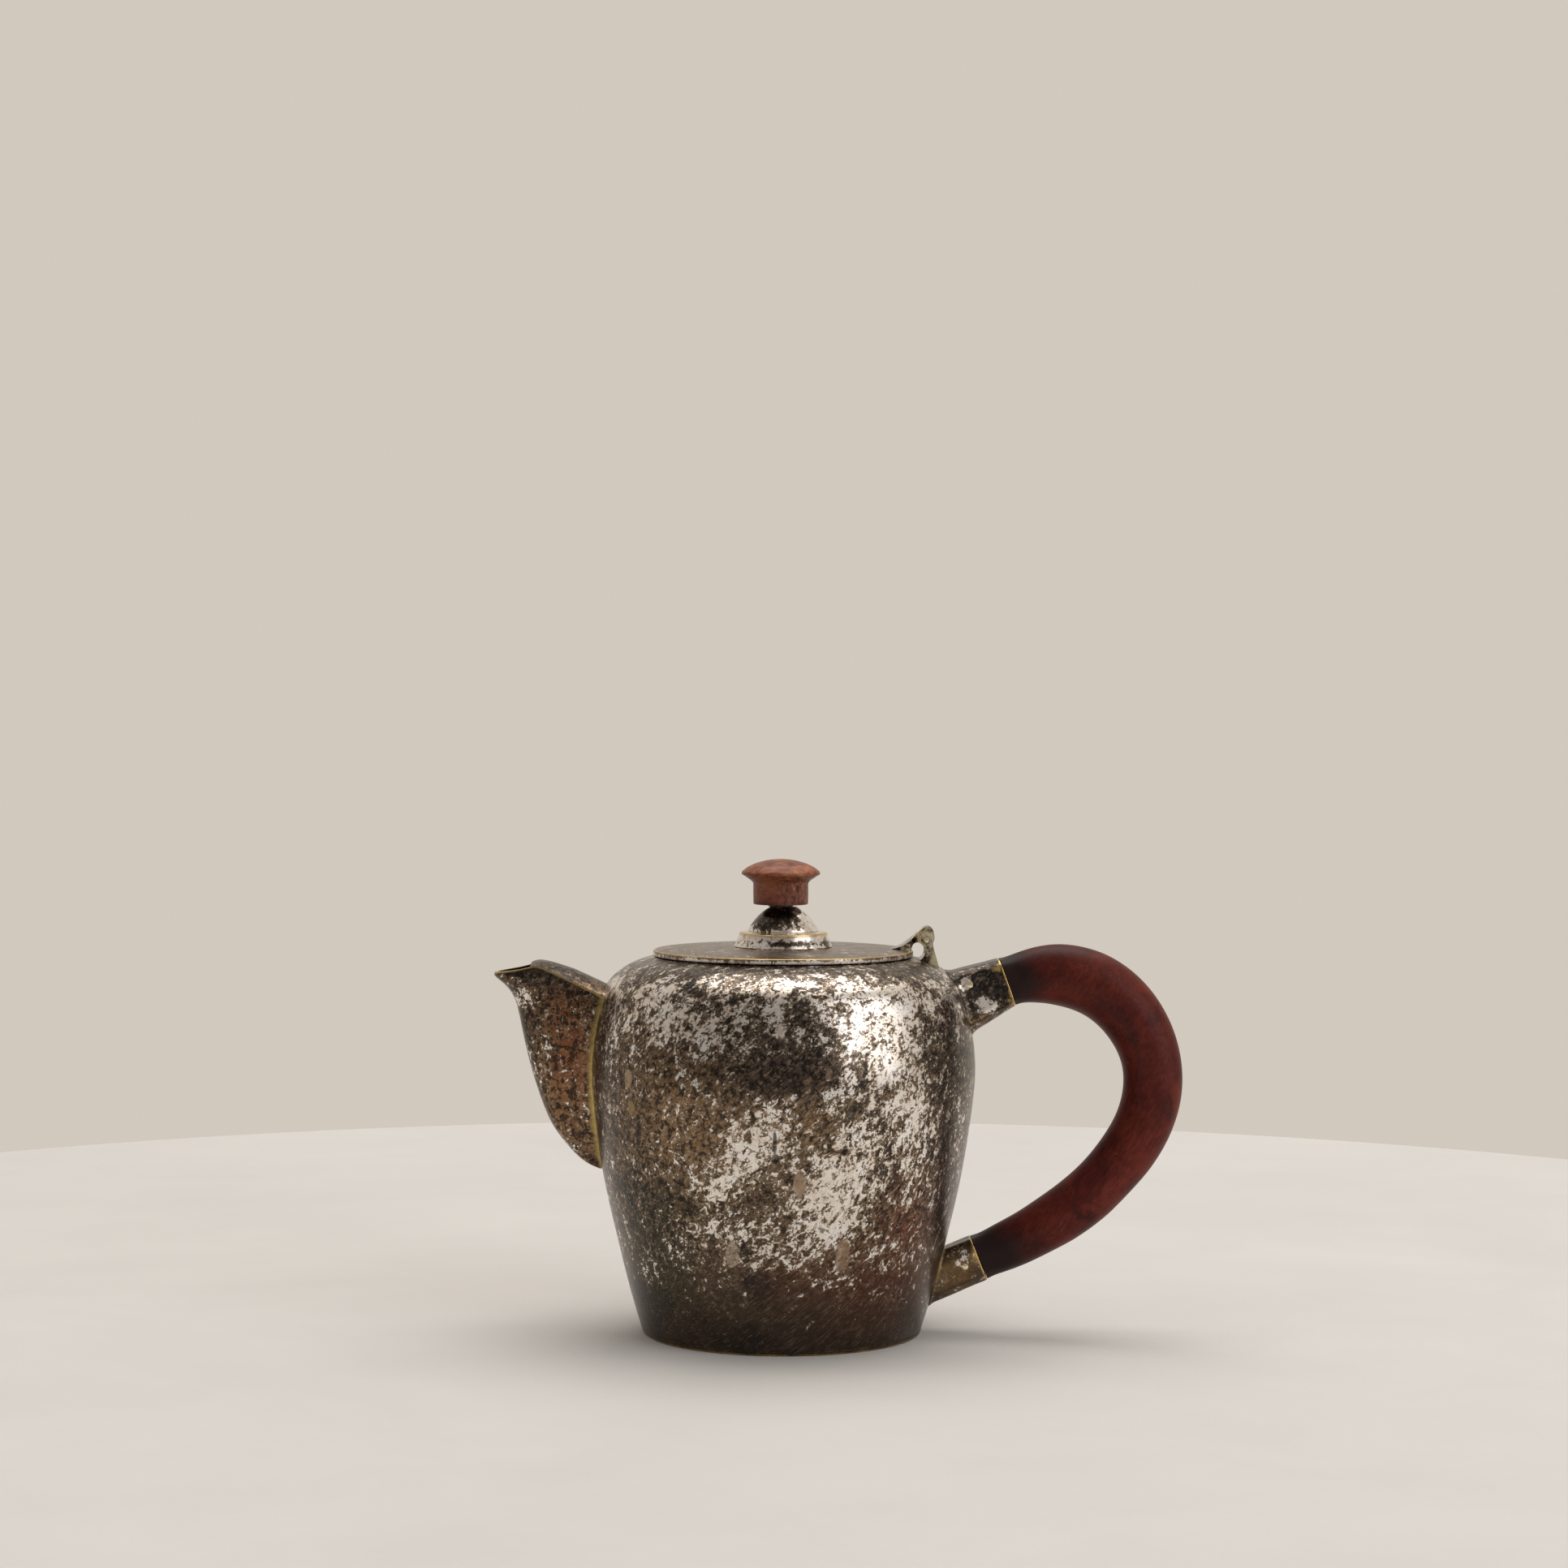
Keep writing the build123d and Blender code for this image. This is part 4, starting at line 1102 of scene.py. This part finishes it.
def make_stud():
    """The knob's fastening, seen from under the open lid: a threaded stud, a nut and a washer."""
    low, high = in_mm(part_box("knob_stud"))
    radius = (high.x - low.x) / 2
    pitch, depth = 0.7, 0.3
    outline = [(0, low.z), (radius - 0.35, low.z)]
    turns = int((high.z - low.z - 0.6) / pitch)
    for k in range(turns):
        z = low.z + 0.3 + k * pitch
        outline += [(radius, z + 0.1), (radius, z + 0.2), (radius - depth, z + 0.45),
                    (radius - depth, z + 0.55)]
    outline += [(radius - 0.35, high.z), (0, high.z)]
    stud = lathe("knob_stud_skin", outline, 40, (KNOB_X, 0.0))
    place(stud, "lid", "steel", STEEL, "knob_stud")

    low, high = in_mm(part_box("knob_nut"))
    corner = (high.x - low.x) / 2
    six = circle(KNOB_X, 0, corner, 6)
    nut = prism("knob_nut_skin", six, (high.z - low.z) / 2, "XY", (high.z + low.z) / 2)
    soften_edges(nut, 0.3, 3)
    place(nut, "lid", "steel", STEEL, "knob_nut")

    low, high = in_mm(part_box("knob_washer"))
    edge = (high.x - low.x) / 2
    ring = rounded([(2.05, low.z), (edge, low.z), (edge, high.z), (2.05, high.z)], 0.12)
    washer = lathe("knob_washer_skin", ring, 64, (KNOB_X, 0.0))
    place(washer, "lid", "steel", STEEL, "knob_washer")


# -------------------- hinge
KNUCKLE = 1.95
TONGUE_HALF = 2.4
TONGUE_PLAY = 0.2
STRAP_HALF = 5.0
SWEEP = 4.3
PIN_PLAY = 0.05
RING_GROOVE = 0.32
RING_DEPTH = 0.4


def bore(piece):
    """Drills a leaf along the hinge pin."""
    drill = prism("drill", circle(HINGE.x, HINGE.z, PIN_RADIUS + PIN_PLAY, 40), 12.0)
    carve(piece, drill, "DIFFERENCE")


def make_hinge():
    """The lid's strap and tongue, the post it swings in, with a ring sunk round the pin, and the pin."""
    back = curve([(30.4, 111.75), (33.2, 112.5), (36.4, 114.3), (39.3, 117.0), (41.2, 118.4),
                  (42.4, 118.68), (43.4, 117.9), (43.95, 116.4), (44.05, 115.0), (43.5, 113.5)], 44)
    belly = curve([(43.1, 113.0), (41.8, 112.7), (40.2, 113.5), (38.7, 113.9), (37.6, 113.2),
                   (37.15, 111.9), (36.6, 111.3)], 22)
    side = back + belly + [(33.0, 111.5)]
    leaf = prism("hinge_lid_leaf_skin", side, 7.0)
    half_plan = curve([(29.8, 0.9), (31.5, 2.6), (34.0, 4.3), (36.2, STRAP_HALF), (37.3, 4.6)], 20)
    waist = curve([(37.8, 3.6), (38.5, 2.7), (39.2, TONGUE_HALF)], 8)
    right = half_plan + waist + [(46.0, TONGUE_HALF)]
    plan = right + [(x, -y) for x, y in reversed(right)]
    carve(leaf, prism("plan_tool", plan, 8.0, "XY", HINGE.z), "INTERSECT")
    bore(leaf)
    soften_edges(leaf, 0.22, 3, 32)
    wear(leaf, lambda p: near((p - HINGE).length, 3.4, 1.3) if p.x > 39 else 0.35)
    place(leaf, "lid", "worn_brass", HINGE_BRASS, "hinge_lid_leaf")

    rise = curve([(45.9, 105.4), (45.1, 107.6), (44.3, 110.4), (43.65, 113.0), (43.45, 114.6)], 16)
    fall = curve([(40.35, 113.3), (41.1, 112.2), (41.1, 110.8), (40.6, 109.7), (39.6, 108.95)], 12)
    knuckle = circle(HINGE.x, HINGE.z, KNUCKLE, 26, 4, 216)
    foot = [(39.3, 108.6), (41.5, 107.7), (43.6, 106.4), (45.2, 105.0)]
    outline = rise + knuckle + fall + foot
    leaf = prism("hinge_body_leaf_skin", outline, HINGE_HALF)
    sweep = prism("sweep_tool", circle(HINGE.x, HINGE.z, SWEEP, 64), TONGUE_HALF + TONGUE_PLAY)
    carve(leaf, sweep, "DIFFERENCE")
    bore(leaf)
    for cheek in (-HINGE_HALF, HINGE_HALF):
        groove = circle(HINGE.x, HINGE.z, PIN_RADIUS + RING_GROOVE, 40)
        carve(leaf, prism("groove_tool", groove, RING_DEPTH, "XZ", cheek), "DIFFERENCE")
    soften_edges(leaf, 0.16, 3, 32)

    def worn_edges(p):
        ring = near(((p.x - HINGE.x) ** 2 + (p.z - HINGE.z) ** 2) ** 0.5, KNUCKLE - 0.2, 0.6)
        return max(0.9 * ring, 0.85 * (p.x > 43.2))

    wear(leaf, worn_edges)
    place(leaf, "pot", "worn_brass", HINGE_BRASS, "hinge_body_leaf")
    make_pin("hinge_pin", dome=0.12)


# -------------------- set
def lamp(name, at, aim, size, power, tint):
    data = bpy.data.lights.new(name, "AREA")
    data.shape = "RECTANGLE"
    data.size, data.size_y = size
    data.energy = power
    data.color = tint
    light = bpy.data.objects.new(name, data)
    light.location = at
    light.rotation_euler = (Vector(aim) - Vector(at)).to_track_quat("-Z", "Y").to_euler()
    bpy.context.scene.collection.objects.link(light)


def make_set():
    """The floor, a dim sky that is paler behind the pot, and two soft lamps."""
    floor = lathe("floor", [(0, 0), (496, 0), (500, -4), (500, -30), (0, -30)])
    floor.data.materials.append(limewash())

    world = bpy.data.worlds.new("studio")
    bpy.context.scene.world = world
    world.use_nodes = True
    nodes, links = world.node_tree.nodes, world.node_tree.links
    nodes.clear()
    out = nodes.new("ShaderNodeOutputWorld")
    background = nodes.new("ShaderNodeBackground")
    coords = nodes.new("ShaderNodeTexCoord")
    split = nodes.new("ShaderNodeSeparateXYZ")
    ramp = nodes.new("ShaderNodeValToRGB")
    spread = nodes.new("ShaderNodeMapRange")
    links.new(coords.outputs["Generated"], split.inputs[0])
    links.new(split.outputs["Y"], spread.inputs["Value"])
    spread.inputs["From Min"].default_value = -1.0
    spread.inputs["From Max"].default_value = 1.0
    stops = ((0.12, (0.27, 0.25, 0.235, 1)), (0.85, (0.64, 0.585, 0.515, 1)))
    for element, (position, colour) in zip(ramp.color_ramp.elements, stops):
        element.position = position
        element.color = colour
    links.new(spread.outputs[0], ramp.inputs["Fac"])
    links.new(ramp.outputs["Color"], background.inputs["Color"])
    links.new(background.outputs[0], out.inputs["Surface"])
    background.inputs["Strength"].default_value = 1.0

    lamp("window", (2.45, -1.75, 1.35), (0, 0, 0.07), (2.4, 2.7), 36, (0.98, 0.985, 1.0))
    lamp("top", (0.25, 0.9, 3.4), (0, 0, 0.05), (3.0, 2.5), 66, (1.0, 0.97, 0.94))


def make_camera():
    """A long lens a metre off, a little above the lid, tipped slightly down and rolled a little."""
    distance, height = 0.9877, 0.1836
    tip_down, roll = 1.377, 0.2547
    data = bpy.data.cameras.new("camera")
    data.sensor_width = 36
    data.lens = 77.8
    camera = bpy.data.objects.new("camera", data)
    tip = Euler((radians(90 - tip_down), 0, 0)).to_matrix().to_4x4()
    stand = Matrix.Translation((0, -distance, height))
    camera.matrix_world = stand @ tip @ Matrix.Rotation(radians(roll), 4, "Z")
    bpy.context.scene.collection.objects.link(camera)
    bpy.context.scene.camera = camera
    bpy.context.scene.view_settings.view_transform = "Standard"


make_camera()
make_set()
make_body_shell()
make_foot_and_mouth()
make_spout()
make_spout_cover()
make_socket("upper_socket", UPPER)
make_socket("lower_socket", LOWER)
make_grip()
make_pin("upper_handle_pin")
make_pin("lower_handle_pin")
make_lid()
make_knob()
make_stud()
make_hinge()
frame["nodes"]["base_disc"].data.materials.clear()
frame["nodes"]["base_disc"].data.materials.append(STAIN)
